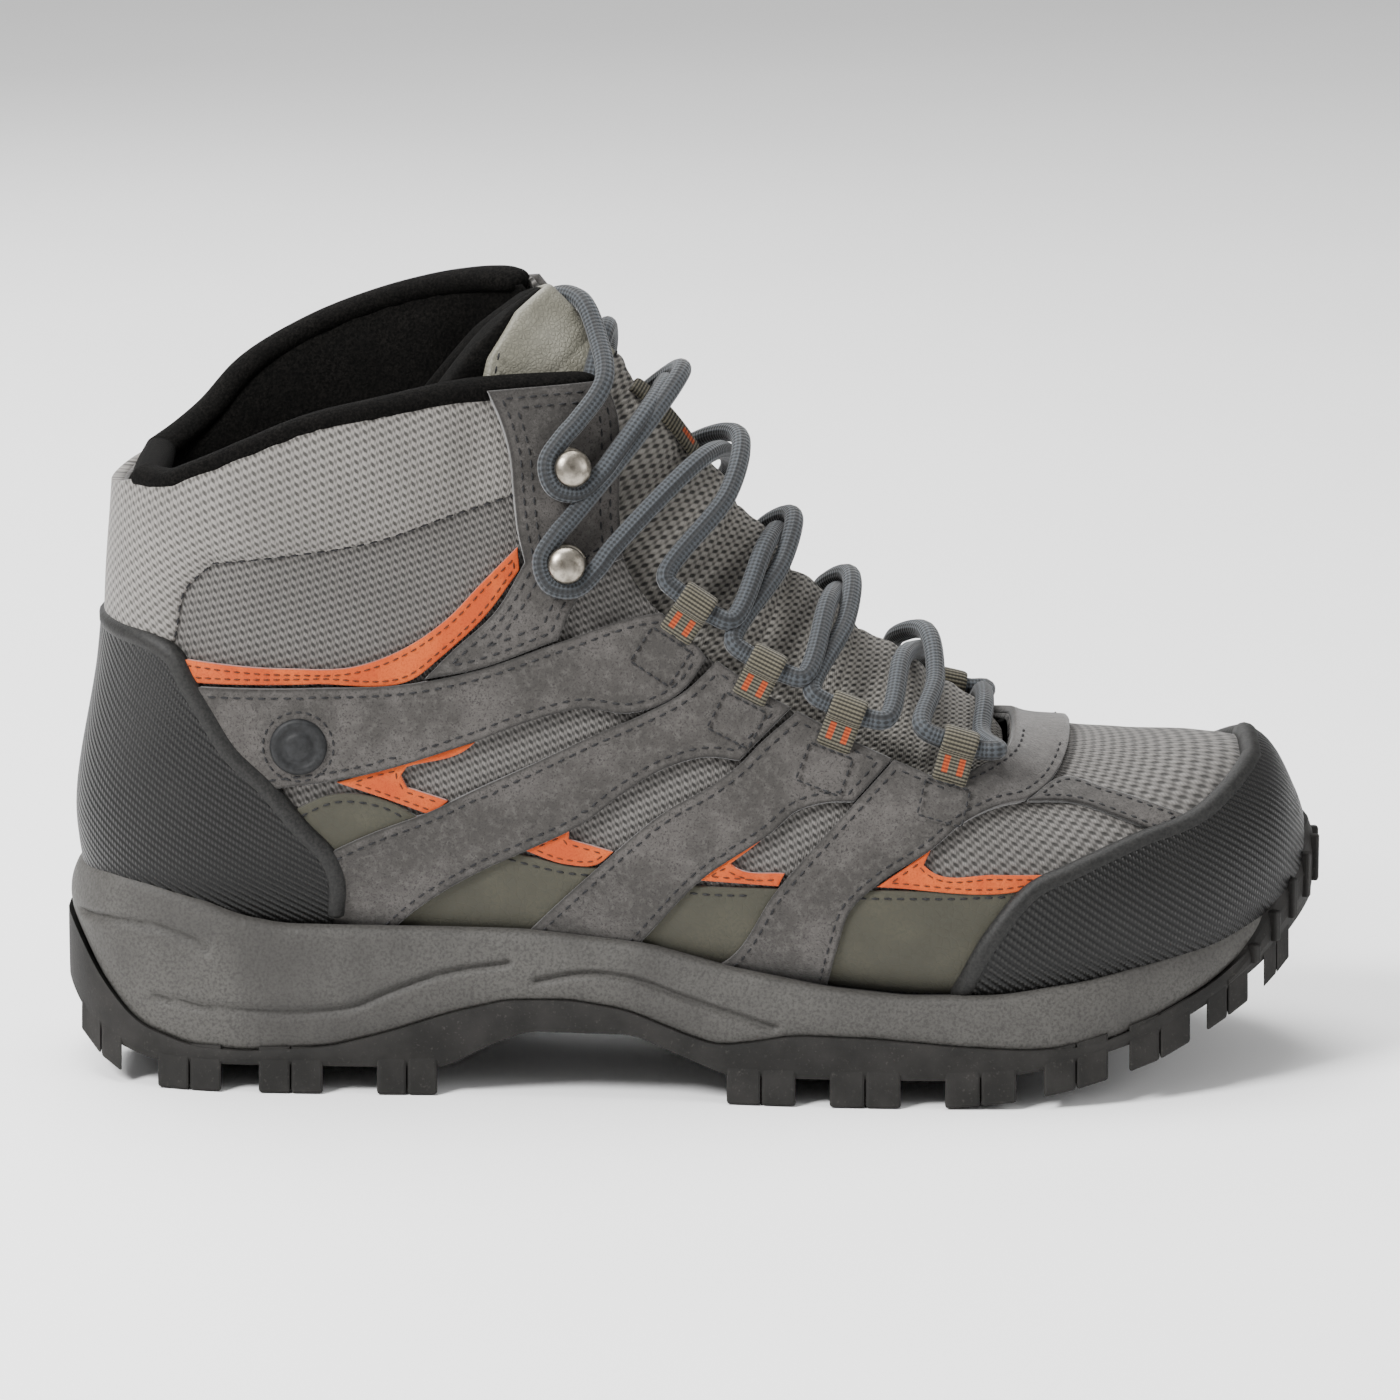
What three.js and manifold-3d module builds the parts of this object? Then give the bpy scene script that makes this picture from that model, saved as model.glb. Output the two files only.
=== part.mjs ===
// A right hiking boot, built as the separate pieces that a bootmaker would cut and assemble.
// Units are millimetres. +X points to the toe, +Y to the inner (medial) side and +Z up, and the
// origin lies on the ground under the middle of the boot.
import * as THREE from "three";
import { ParametricGeometry } from "three/addons/geometries/ParametricGeometry.js";
import { mergeVertices } from "three/addons/utils/BufferGeometryUtils.js";
import Module from "manifold-3d";

const wasm = await Module();
wasm.setup();

// Overall sizes: the outlines below are drawn for a boot 310 long, 110 wide and 193 high at the collar.
const boot_length = 310;
const boot_width = 110;
const collar_height = 193;
const stretch = new THREE.Vector3(boot_length / 310, boot_width / 110, collar_height / 193);

// Thicknesses, counted outwards from the outer face of the mesh upper.
const gap = 0.3;
const shell_wall = 1.6;
const foam_wall = 2.4;
const lining_wall = 1;
const trim_top = 1.3;
const suede_top = 2.8;
const cap_top = 3.2;
const board_wall = 2;
const shank_wall = 1.8;
const footbed_height = 4.5;
const tongue_wall = 3.5;
const binding_height = 2.6;
const foam_face = -shell_wall - gap;
const lining_face = foam_face - foam_wall - gap;
const cavity_face = lining_face - lining_wall;

// Lacing hardware.
const lace_diameter = 4.8;
const lace_clearance = 0.5;
const loop_width = 11;
const loop_wall = 1.2;
const loop_tab = 14;
const hook_height = 8;
const hook_stem = 1.6;
const hook_dome = 4.2;
const hook_plate = 5.5;
const plate_wall = 0.8;
const badge_radius = 7;
const tread_depth = 6.5;

// The tongue lies under the lining, and low enough for the lace to pass between it and the suede.
const tongue_face = Math.min(cavity_face - 0.4, -lace_diameter - 2 * lace_clearance - 0.2);

// The foot form, as slanting sections from the toe to above the collar. Each section runs from a
// point on the sole line (back x and z) to a point on the ridge of the boot (front x and z).
const sections = [
  { front: [150.5, 54], back: [150.5, 50], middle: 7, half: 1, ridge: 7, wide: 0.4, low: 2.2, high: 2 },
  { front: [147.5, 64], back: [147.5, 42], middle: 7, half: 14, ridge: 7, wide: 0.4, low: 2.4, high: 2 },
  { front: [140, 76.5], back: [139, 35], middle: 6.5, half: 27, ridge: 6.5, wide: 0.38, low: 2.8, high: 2.1 },
  { front: [126, 79.5], back: [124, 28], middle: 5, half: 39, ridge: 5, wide: 0.36, low: 3.2, high: 2.2 },
  { front: [107, 80.5], back: [103, 23], middle: 3, half: 46.5, ridge: 4, wide: 0.35, low: 3.4, high: 2.05 },
  { front: [88, 84], back: [76, 20], middle: 0, half: 49, ridge: 2, wide: 0.34, low: 3.4, high: 1.95 },
  { front: [66, 99], back: [42, 21], middle: -2, half: 47, ridge: 0, wide: 0.34, low: 3.2, high: 1.8 },
  { front: [43, 115], back: [2, 24], middle: -3, half: 42, ridge: -1, wide: 0.36, low: 3, high: 1.72 },
  { front: [24, 134], back: [-42, 27], middle: -2.5, half: 38, ridge: -1, wide: 0.38, low: 2.8, high: 1.7 },
  { front: [8, 154], back: [-92, 28], middle: -1, half: 36, ridge: -1, wide: 0.4, low: 2.7, high: 1.72 },
  { front: [-9, 174], back: [-136, 31], middle: 0, half: 35.5, ridge: 0, wide: 0.4, low: 2.5, high: 1.78 },
  { front: [-22, 188], back: [-149, 60], middle: 0, half: 35.5, ridge: 0, wide: 0.42, low: 2.3, high: 1.85 },
  { front: [-33, 200], back: [-143, 104], middle: 0, half: 36.5, ridge: 0, wide: 0.44, low: 2.2, high: 1.9 },
  { front: [-43, 211], back: [-139.5, 150], middle: 0, half: 38.5, ridge: 0, wide: 0.46, low: 2.2, high: 2 },
  { front: [-52, 220], back: [-140, 180], middle: 0, half: 40, ridge: 0, wide: 0.48, low: 2.2, high: 2 },
].map((q) => [...q.front, ...q.back, q.middle, q.half, q.ridge, q.wide, q.low, q.high]);
const top_section = sections.length - 1;
const rings = Math.round(18 * stretch.x);
const ring_points = 14;
const toe_density = 1.12;

// A smooth curve through the section values at station s.
function section_at(s) {
  const i = Math.min(Math.max(Math.floor(s), 0), top_section - 1);
  const f = s - i;
  const rows = [i - 1, i, i + 1, i + 2].map((k) => sections[Math.min(Math.max(k, 0), top_section)]);
  return rows[1].map((_, k) => {
    const [a, b, c, d] = rows.map((row) => row[k]);
    const bend = 2 * a - 5 * b + 4 * c - d;
    return 0.5 * (2 * b + (c - a) * f + bend * f * f + (3 * b - a - 3 * c + d) * f ** 3);
  });
}

// The point of the form at a station and an angle: 0 is the sole line, pi the ridge, and angles up to
// pi lie on the outer (lateral) side, from pi to two pi on the inner side.
function form_face(s, angle) {
  const [front_x, front_z, back_x, back_z, middle, half, ridge, widest, low, high] = section_at(s);
  const rise = Math.cos(angle);
  const power = 2 / (rise >= 0 ? low : high);
  const reach = Math.abs(rise) ** power;
  const share = rise >= 0 ? widest * (1 - reach) : widest + (1 - widest) * reach;
  const lean = Math.max(0, (share - widest) / (1 - widest)) ** 2;
  const out = Math.sin(angle) >= 0 ? -half : half;
  return new THREE.Vector3(
    back_x + (front_x - back_x) * share,
    middle + (ridge - middle) * lean + out * Math.abs(Math.sin(angle)) ** power,
    back_z + (front_z - back_z) * share,
  ).multiply(stretch);
}

// The frame of the form at a point: outwards, towards the ridge from the outer side, and up the boot.
function form_axes(s, angle) {
  const step = 0.03;
  const up = form_face(Math.min(s + step, top_section), angle).sub(form_face(Math.max(s - step, 0), angle));
  const around = form_face(s, angle + step).sub(form_face(s, angle - step));
  const out = around.clone().cross(up).normalize();
  around.normalize();
  return { out, around, up: out.clone().cross(around) };
}

function on_form(s, angle, lift) {
  return form_face(s, angle).addScaledVector(form_axes(s, angle).out, lift);
}

// Moves a piece drawn at the origin (x towards the ridge, y up the boot, z outwards) onto the form.
function placement(s, angle, lift) {
  const { out, around, up } = form_axes(s, angle);
  return new THREE.Matrix4().makeBasis(around, up, out).setPosition(on_form(s, angle, lift));
}

function solid(geometry) {
  const bare = geometry.index ? geometry.toNonIndexed() : geometry.clone();
  bare.deleteAttribute("normal");
  bare.deleteAttribute("uv");
  const merged = mergeVertices(bare, 1e-4);
  const corners = merged.index.array;
  const faces = [];
  for (let i = 0; i < corners.length; i += 3) {
    const [a, b, c] = corners.slice(i, i + 3);
    if (a !== b && b !== c && c !== a) faces.push(a, b, c);
  }
  const vertProperties = merged.attributes.position.array;
  return new wasm.Manifold(
    new wasm.Mesh({ numProp: 3, vertProperties, triVerts: new Uint32Array(faces) }),
  );
}

// The closed form, grown or shrunk by a lift along its own outward direction.
function form_solid(lift) {
  const first = Math.max(0, -lift * 0.12);
  const toe = on_form(first + 0.3, 0, lift).lerp(on_form(first + 0.3, Math.PI, lift), 0.5);
  toe.x = Math.max(on_form(first, 0, lift).x, on_form(first, Math.PI, lift).x);
  const crown = on_form(top_section, 0, lift).lerp(on_form(top_section, Math.PI, lift), 0.5);
  const place = (u, v, target) => {
    const ring = Math.round(v * (rings + 2)) - 1;
    if (ring < 0) target.copy(toe);
    else if (ring > rings) target.copy(crown);
    else {
      const s = first + (top_section - first) * (ring / rings) ** toe_density;
      target.copy(on_form(s, 2 * Math.PI * (Math.round(u * ring_points) % ring_points) / ring_points, lift));
    }
  };
  return solid(new ParametricGeometry(place, ring_points, rings + 2));
}

const form_solids = new Map();
function form_at(lift) {
  const key = lift.toFixed(2);
  if (!form_solids.has(key)) form_solids.set(key, form_solid(lift));
  return form_solids.get(key);
}

function band(inner, outer) {
  return form_at(outer).subtract(form_at(inner));
}

const far_out = 90;
const lateral = { name: "lateral", from: -far_out, to: 0 };
const medial = { name: "medial", from: 0, to: far_out };
const both = { name: "both", from: -far_out, to: far_out };
const sides = [lateral, medial];

// A block with an outline drawn in side view (x, z), through one side of the boot or both.
function side_block(outline, side) {
  const shape = new THREE.Shape(outline.map(([x, z]) => new THREE.Vector2(x * stretch.x, z * stretch.z)));
  const block = new THREE.ExtrudeGeometry(shape, { depth: side.to - side.from, bevelEnabled: false });
  block.rotateX(Math.PI / 2);
  block.translate(0, side.to, 0);
  return solid(block);
}

// The same outline moved outwards by a clearance, whichever way round it is drawn.
function grown(outline, clearance) {
  const turn = Math.sign(THREE.ShapeUtils.area(outline.map(([x, z]) => new THREE.Vector2(x, z))));
  return outline.map(([x, z], i) => {
    const before = outline.at(i - 1);
    const after = outline[(i + 1) % outline.length];
    const a = new THREE.Vector2(z - before[1], before[0] - x).normalize();
    const b = new THREE.Vector2(after[1] - z, x - after[0]).normalize();
    const corner = a.clone().add(b).normalize();
    const length = (turn * clearance) / Math.max(corner.dot(a), 0.35);
    return [x + corner.x * length, z + corner.y * length];
  });
}

// Collar line and throat.
const collar_line = {
  lateral: [[-165, 150], [-134, 149.5], [-127, 150], [-120.5, 152.7], [-107, 158.7], [-91, 165], [-75, 168.2],
    [-54, 171.5], [-40, 172], [-22, 172], [20, 172]],
  medial: [[-165, 150], [-134, 149.5], [-130, 151.5], [-122, 157], [-112, 167], [-95, 177], [-78, 184],
    [-66, 188], [-55, 191], [-44, 193], [20, 193]],
};
const above_all = 270;

function above_collar(rise) {
  const blocks = sides.map((side) => {
    const line = collar_line[side.name].map(([x, z]) => [x, z + rise]);
    return side_block([...line, [20, above_all], [-165, above_all]], side);
  });
  return blocks[0].add(blocks[1]);
}

const throat = [[-44, 215], [-39, 193], [-30, 182], [-22, 172], [-19, 164], [-18, 152.6], [-18, 142],
  [-17.5, 135.4], [-16, 129.3], [-11.8, 122], [-6, 115.8], [2, 108.3], [20, 96.5], [38.4, 86.9], [60.7, 76.8],
  [71.7, 79.8], [79.5, 84.4], [82, 90], [84, 130], [30, 215]];
const throat_block = side_block(throat, both);
const opening = above_collar(0).add(throat_block);

// Overlays lie on the mesh upper. A later piece is cut back where an earlier one already lies.
const laid = [];
function overlay(outline, side, top) {
  let piece = band(gap, top).intersect(side_block(outline, side)).subtract(opening);
  for (const under of laid) {
    if (under.side === side || under.side === both || side === both) piece = piece.subtract(under.keep_out);
  }
  const keep_out = form_at(top + gap).subtract(form_at(-gap))
    .intersect(side_block(grown(outline, gap), side));
  laid.push({ side, keep_out });
  return piece;
}

const group = new THREE.Group();

function finish(color, roughness, metalness = 0) {
  return new THREE.MeshStandardMaterial({ color, roughness, metalness });
}

const finishes = {
  suede: finish(0x5f5f61, 0.9),
  mesh: finish(0x87857f, 0.8),
  nubuck: finish(0x626052, 0.85),
  orange: finish(0xcd642d, 0.6),
  cap: finish(0x28282a, 0.4),
  foam_sole: finish(0x646466, 0.75),
  rubber: finish(0x3c3a37, 0.85),
  lining: finish(0x191717, 0.9),
  foam: finish(0xc8c4b8, 0.9),
  board: finish(0xb09468, 0.8),
  plastic: finish(0x2a2c30, 0.5),
  lace: finish(0x4b555f, 0.8),
  metal: finish(0x827d73, 0.35, 0.9),
  webbing: finish(0x8a8468, 0.8),
  tongue_leather: finish(0x8c8a7d, 0.7),
};

function add(name, piece, material) {
  const { numProp, vertProperties, triVerts } = piece.getMesh();
  const flat = new Float32Array((vertProperties.length / numProp) * 3);
  for (let i = 0; i < flat.length / 3; i++) {
    flat.set(vertProperties.subarray(i * numProp, i * numProp + 3), 3 * i);
  }
  const geometry = new THREE.BufferGeometry();
  geometry.setAttribute("position", new THREE.BufferAttribute(flat, 3));
  geometry.setIndex(new THREE.BufferAttribute(triVerts, 1));
  const mesh = new THREE.Mesh(geometry, material);
  mesh.name = name;
  group.add(mesh);
}

// Sole unit. Heights along the boot: what the tread stands on, the underside between the lugs, the
// joint between rubber and foam, and the top of the foam wall.
const ground_line = [[-160, 20], [-150, 9], [-143, 3.5], [-133, 0], [62, 0], [79, 1.6], [95, 4.6], [114, 9.5],
  [130, 16.6], [141, 22], [150, 29], [160, 38]];
const tread_line = [[-160, 28], [-150, 15], [-143, 10], [-133, tread_depth], [-60, tread_depth], [-50, 12],
  [-40, 16], [-14, 16], [-2, 11], [9, tread_depth], [62, tread_depth], [79, tread_depth + 1.6],
  [95, tread_depth + 4.6], [114, tread_depth + 9.5], [130, 23], [141, 28.5], [150, 35.5], [160, 44]];
const joint_line = [[-160, 42], [-153, 37], [-149, 30], [-143, 22], [-136, 15], [-123, 10.6], [-109, 9.8],
  [-88, 11.3], [-74, 15], [-59, 18], [-45, 19.5], [-16, 19.5], [-2, 16.5], [6.5, 13.8], [17, 15.4],
  [24.5, 17], [43, 16.7], [62, 15], [81, 14], [95, 15], [105, 18.5], [114, 21], [128, 27], [142.5, 36],
  [149, 44], [152, 60], [160, 61]];
const bumper_back = 149;
const foam_line = [[-160, 50], [-148, 52], [-134, 50.5], [-122, 47], [-111, 43], [-100, 41], [-40, 40.5],
  [-12, 38], [7, 33], [32, 28.5], [52, 26.5], [75, 27], [98, 30], [115, 34], [130, 39], [142, 44], [149, 49]];
const sole_plan = [[-155, 0], [-150, -18], [-140, -29], [-120, -37], [-90, -40], [-50, -42], [-10, -47],
  [30, -52.6], [60, -54.4], [85, -54.5], [110, -47], [130, -34], [145, -17], [153, -2], [155, 8], [153, 19],
  [145, 32], [130, 46], [110, 53], [85, 55], [60, 50], [30, 43], [-10, 38], [-50, 39], [-90, 41],
  [-120, 39], [-140, 31], [-150, 20]];

const plan_curve = new THREE.CatmullRomCurve3(
  sole_plan.map(([x, y]) => new THREE.Vector3(x * stretch.x, y * stretch.y, 0)), true,
);
const plan_steps = 72;

// The sole outline in plan, moved inwards by an inset, as a block up to a height.
function plan_block(inset, height) {
  const points = Array.from({ length: plan_steps }, (_, i) => {
    const at = plan_curve.getPoint(i / plan_steps);
    const along = plan_curve.getTangent(i / plan_steps);
    return new THREE.Vector2(at.x - along.y * inset, at.y + along.x * inset);
  });
  const block = new THREE.ExtrudeGeometry(new THREE.Shape(points), { depth: height, bevelEnabled: false });
  return solid(block);
}

function between(low_line, high_line, low_rise = 0) {
  return side_block([...low_line.map(([x, z]) => [x, z + low_rise]), ...high_line.toReversed()], both);
}

const sole_height = 90;
const foam_inset = 0.8;
const shank_plan = [[-105, -13], [6, -15], [6, 11], [-105, 13]];

function flat_block(outline, low, high) {
  const shape = new THREE.Shape(outline.map(([x, y]) => new THREE.Vector2(x * stretch.x, y * stretch.y)));
  const block = new THREE.ExtrudeGeometry(shape, { depth: high - low, bevelEnabled: false });
  block.translate(0, 0, low);
  return solid(block);
}

// Tread lugs: a row of blocks along each edge and chevron blocks down the middle.
const edge_lugs = [[-151, -140], [-131, -115], [-106, -90], [-77, -62], [8.5, 25.5], [33.5, 51], [61.5, 79],
  [85.5, 101.5], [106.5, 122], [126, 137], [141, 148]];
const middle_lugs = [-124, -100, -76, 17, 40, 63, 87, 109, 128];
const lug_reach = 17;

function plan_edge(x, side) {
  const past = sole_plan.filter(([px, py]) => (side === lateral ? py < 0 : py > 0));
  const row = past.toSorted((a, b) => a[0] - b[0]);
  const i = row.findIndex(([px]) => px > x);
  if (i < 1) return row.at(i === 0 ? 0 : -1)[1];
  const [a, b] = [row[i - 1], row[i]];
  return a[1] + ((b[1] - a[1]) * (x - a[0])) / (b[0] - a[0]);
}

function lug_blocks() {
  const blocks = [];
  for (const [from, to] of edge_lugs) {
    for (const side of sides) {
      const out = side === lateral ? -1 : 1;
      const edge = [from, to].map((x) => plan_edge(x, side));
      const inner = edge.map((y) => y - out * Math.min(lug_reach, Math.abs(y) - 5));
      const slant = 3;
      blocks.push([[from, edge[0] + out * 4], [to, edge[1] + out * 4], [to - slant, inner[1]],
        [from + slant, inner[0]]]);
    }
  }
  for (const x of middle_lugs) {
    const centre = (plan_edge(x, lateral) + plan_edge(x, medial)) / 2;
    const half = Math.min(14, (plan_edge(x, medial) - plan_edge(x, lateral)) / 2 - lug_reach - 4);
    blocks.push([[x - 8, centre - half], [x, centre - half], [x + 7, centre], [x, centre + half],
      [x - 8, centre + half], [x - 2, centre]]);
  }
  return blocks;
}

const bumper_room = form_at(cap_top + 2 * gap);

function make_outsole() {
  const outline = plan_block(0, sole_height);
  const tread = outline.intersect(between(ground_line, tread_line.map(([x, z]) => [x, z + 1])));
  let sole = outline.intersect(between(tread_line, joint_line));
  for (const block of lug_blocks()) {
    sole = sole.add(tread.intersect(flat_block(block, -5, sole_height)));
  }
  return sole.subtract(bumper_room);
}

const shank_low = board_wall + 2 * gap;

function make_midsole() {
  const under_foam = joint_line.filter(([x]) => x <= bumper_back);
  const wall = plan_block(foam_inset, sole_height).intersect(between(under_foam, foam_line, gap));
  const shank_plan_room = grown(shank_plan, gap);
  const shank_room = form_at(shank_low + shank_wall + gap)
    .intersect(flat_block(shank_plan_room, 0, sole_height));
  return wall.subtract(bumper_room).subtract(shank_room);
}

const board_line = [[-155, 40], [-136, 34], [-92, 31], [-42, 30], [2, 27], [42, 24], [76, 23], [103, 26],
  [124, 31], [139, 38], [150, 45]];
const under_board = side_block([...board_line, [150, 0], [-155, 0]], both);
const footbed_line = board_line.map(([x, z]) => [x, z - 3 - cavity_face + footbed_height]);

function make_footbed() {
  const under = side_block([...footbed_line, [150, 0], [-155, 0]], both);
  return form_at(cavity_face - gap).intersect(under);
}

const shank = form_at(shank_low + shank_wall).subtract(form_at(shank_low));
add("outsole", make_outsole(), finishes.rubber);
add("midsole", make_midsole(), finishes.foam_sole);
add("shank", shank.intersect(flat_block(shank_plan, 0, 42)), finishes.plastic);
add("insole_board", band(gap, board_wall + gap).intersect(under_board)
  .intersect(plan_block(11, 42)), finishes.board);
add("footbed", make_footbed(), finishes.lining);

// Overlays, from the lowest layer up.
const mudguard = [[-102, 62], [-100, 68], [-86, 74], [-74, 72.5], [-64, 67], [-50, 62], [-40, 59.3],
  [-30, 57.2], [-20, 56.5], [0, 53], [20, 52.7], [60, 52.7], [88, 52], [97, 50], [97, 26], [33, 27],
  [5, 31], [-40, 34], [-102, 36]];
const chevrons = [
  [[-86, 77], [-52.4, 87], [-54, 85.6], [-69, 81], [-70.5, 78.8], [-69, 75.8], [-59, 72.6], [-63, 69],
    [-74, 73]],
  [[-41, 61], [-26, 67.9], [-29.6, 65.6], [-29.6, 63.6], [-18.8, 60.7], [-22.6, 57.7], [-30, 57.5]],
  [[1.5, 54.4], [20.4, 67], [14, 61.8], [9.6, 58.6], [11, 57.6], [22.8, 56.4], [21.3, 53.4]],
  [[45, 53.6], [58, 62.2], [56.2, 58.6], [58, 57.2], [73.5, 56], [91.5, 55.3], [83, 52.8]],
];
const collar_accent = [[-124, 106.8], [-98, 105], [-81, 105.5], [-72, 108.5], [-59.4, 116.5], [-51, 125],
  [-42.3, 133.5], [-41.8, 128], [-50.7, 116.5], [-60.6, 107.6], [-67, 102.6], [-91.5, 101.4], [-124, 101.2]];
const toe_stripe = [[81.5, 71.4], [89, 74.8], [101.5, 72.3], [114, 68.7], [121, 66.4], [113.5, 63.4],
  [104, 67], [93.8, 70.2]];
const toe_cap = [[64, 26], [65.6, 27.5], [73.7, 42], [83, 52], [91.5, 55.3], [107.6, 61], [123.5, 65.8],
  [132, 71], [137.7, 75.3], [139, 90], [170, 90], [170, 44], [150, 43], [139, 40], [124, 33], [103, 28]];
const heel_cap = [[-170, 114], [-138, 111], [-130, 109.6], [-125.7, 107.5], [-122, 101], [-118, 94],
  [-112, 84], [-104, 76], [-95, 65], [-88, 57], [-86.5, 52], [-87, 44], [-89, 36], [-170, 42]];
const ankle_suede = [[-58, 205], [-52, 185], [-47, 168], [-44.6, 157], [-43.3, 145.7], [-42, 136],
  [-40.5, 129.8], [-47.4, 118.4], [-58.3, 108.6], [-64.6, 102.3], [-53, 104.3], [-32.4, 111.2],
  [-29.5, 117.8], [-26, 123], [-21, 128.3], [-10, 131], [-10, 205]];
const straps = [
  [[-125, 100.3], [-92, 100.3], [-67, 101.3], [-53, 104], [-32, 110.7], [-12, 116.5], [-4, 121], [8, 108],
    [4, 103.5], [-1.8, 99.2], [-15, 93.8], [-26, 95], [-38, 92.4], [-53, 87], [-84, 78], [-101, 75.5],
    [-125, 72]],
  [[-97, 55], [-77, 64.7], [-65, 69.3], [-50, 76.5], [-39, 81.5], [-23, 88.9], [-13, 93], [-1.8, 98.6],
    [9, 108], [30, 96], [16, 86.8], [11.7, 82.6], [4.4, 83.5], [-6, 81], [-16, 75.2], [-26, 67.7],
    [-40, 60.7], [-50.7, 55.7], [-67.5, 45], [-76, 37], [-97, 37]],
  [[-44, 35], [-38.5, 41.2], [-22.6, 56.7], [-6, 70.8], [5.5, 77.2], [12, 82], [16.5, 86.3], [29, 97],
    [53, 86], [39.4, 73], [33, 72.9], [25, 70.6], [20.3, 66.6], [3.6, 55.3], [-12, 38.5], [-16, 34]],
];
const vamp = [[3, 31], [7, 33], [21.3, 52.8], [39.8, 72.8], [54, 87], [60, 105], [95, 105], [92.3, 80],
  [88, 75.2], [81.6, 72], [75, 71], [66, 67.8], [58, 62], [45, 54], [39.3, 48.7], [35.5, 38], [33, 27]];

for (const side of sides) {
  add(`mudguard_${side.name}`, overlay(mudguard, side, trim_top), finishes.nubuck);
  chevrons.forEach((outline, i) => {
    add(`chevron_${i + 1}_${side.name}`, overlay(outline, side, trim_top), finishes.orange);
  });
  add(`collar_accent_${side.name}`, overlay(collar_accent, side, trim_top), finishes.orange);
  add(`toe_stripe_${side.name}`, overlay(toe_stripe, side, trim_top), finishes.suede);
}
add("toe_cap", overlay(toe_cap, both, cap_top), finishes.cap);
add("heel_cap", overlay(heel_cap, both, cap_top), finishes.cap);
for (const side of sides) {
  add(`ankle_suede_${side.name}`, overlay(ankle_suede, side, suede_top), finishes.suede);
  straps.forEach((outline, i) => {
    add(`strap_${i + 1}_${side.name}`, overlay(outline, side, suede_top), finishes.suede);
  });
}
add("vamp_suede", overlay(vamp, both, suede_top), finishes.suede);

// Tongue: its outline reaches under the edges of the throat and above the collar. Its top is a flap
// that leans back, and the wedge behind the hinge leaves room for it.
const tongue = [[-28, 197], [-41, 195], [-45, 184], [-54, 172], [-50, 160], [-34, 140], [-28, 125],
  [-20, 112], [-8, 101], [12, 88], [32, 78], [58, 67], [78, 72], [90, 80], [92, 110], [0, 210]];
const tongue_hinge = [-10.5, 162.5];
const flap_lean = 15;
const hinge_gap = 1.2;
const split_slope = -0.25;

// The region of the side view above a line from the hinge, which falls towards the back by a slope.
function above_hinge(turn, rise) {
  const [x, z] = tongue_hinge;
  const back = 70;
  const drop = back * Math.tan(Math.atan(split_slope) + THREE.MathUtils.degToRad(turn));
  return [[x - back, z + drop + rise], [x, z + rise], [x + 40, z + rise + 26], [x + 40, above_all],
    [x - back, above_all]];
}

const tongue_band = band(tongue_face - tongue_wall, tongue_face).intersect(side_block(tongue, both));
const flap_region = side_block(above_hinge(flap_lean + 3, hinge_gap / 2), both);
const body_cut = side_block(above_hinge(0, -hinge_gap / 2), both);
add("tongue_body", tongue_band.subtract(body_cut), finishes.mesh);
add("tongue_flap", tongue_band.intersect(flap_region), finishes.tongue_leather);

// The lace: up through the loops and round the hooks, crossing over the tongue, with both ends tucked
// under the collar edge.
const ridge_angle = Math.PI;
const lace_radius = lace_diameter / 2;
const loop_bore = lace_radius + 0.9;
const loop_outer = loop_bore + loop_wall;
const tab_wall = 1.6;
const loop_stations = [[5.9, 2.2], [6.86, 2.14], [7.64, 2.15], [8.42, 2.2]];
const hook_stations = [[9.5, 2.22], [10.05, 2.42]];
const loop_centre = new THREE.Vector3(loop_tab / 2 + loop_outer, 0, tab_wall / 2 + 0.4);
const lace_rest = tongue_face + lace_radius + lace_clearance;
const lace_pitch = lace_diameter + lace_clearance;
const hook_rest = lace_rest + 2;
const loop_edge_lift = lace_radius - 1.6;
const hook_edge_lift = lace_radius + 2;
const tab_lift = suede_top + gap;

function side_angle(angle, side) {
  return side === lateral ? angle : 2 * Math.PI - angle;
}

// Points in the frame of a fitting on one side. Its x axis points to the ridge on both sides.
function fitting_points([s, angle], side, lift, points) {
  const out = side === lateral ? 1 : -1;
  const place = placement(s, side_angle(angle, side), lift);
  return points.map(([x, y, z]) => new THREE.Vector3(out * x, y, z).applyMatrix4(place));
}

function through_loop(row, side) {
  const { x, z } = loop_centre;
  const points = [-9.5, -5.5, 0, 5.5, 9.5].map((y) => [x + (Math.abs(y) > 9 ? 1.2 : 0), y, z]);
  return fitting_points(loop_stations[row], side, tab_lift, points);
}

function round_hook(row, side) {
  const reach = 6;
  const z = plate_wall + gap + lace_radius;
  const points = [[10, -6.2, z - 0.6], [4.4, -6.4, z], [-2.8, -5.3, z], [-reach, 0, z], [-2.8, 5.3, z],
    [4.4, 6.4, z], [10, 6.2, z - 0.6]];
  return fitting_points(hook_stations[row], side, tab_lift, points);
}

// A strand over the tongue between stations, given as distances across from the ridge in radians.
function crossing([s_from, across_from], [s_to, across_to], lift, edge_lift) {
  return [0.18, 0.5, 0.82].map((t) => {
    const s = THREE.MathUtils.lerp(s_from, s_to, t);
    const angle = ridge_angle + THREE.MathUtils.lerp(across_from, across_to, t);
    return on_form(s, angle, t === 0.5 ? lift : edge_lift);
  });
}

const strand_across = 0.62;

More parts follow.
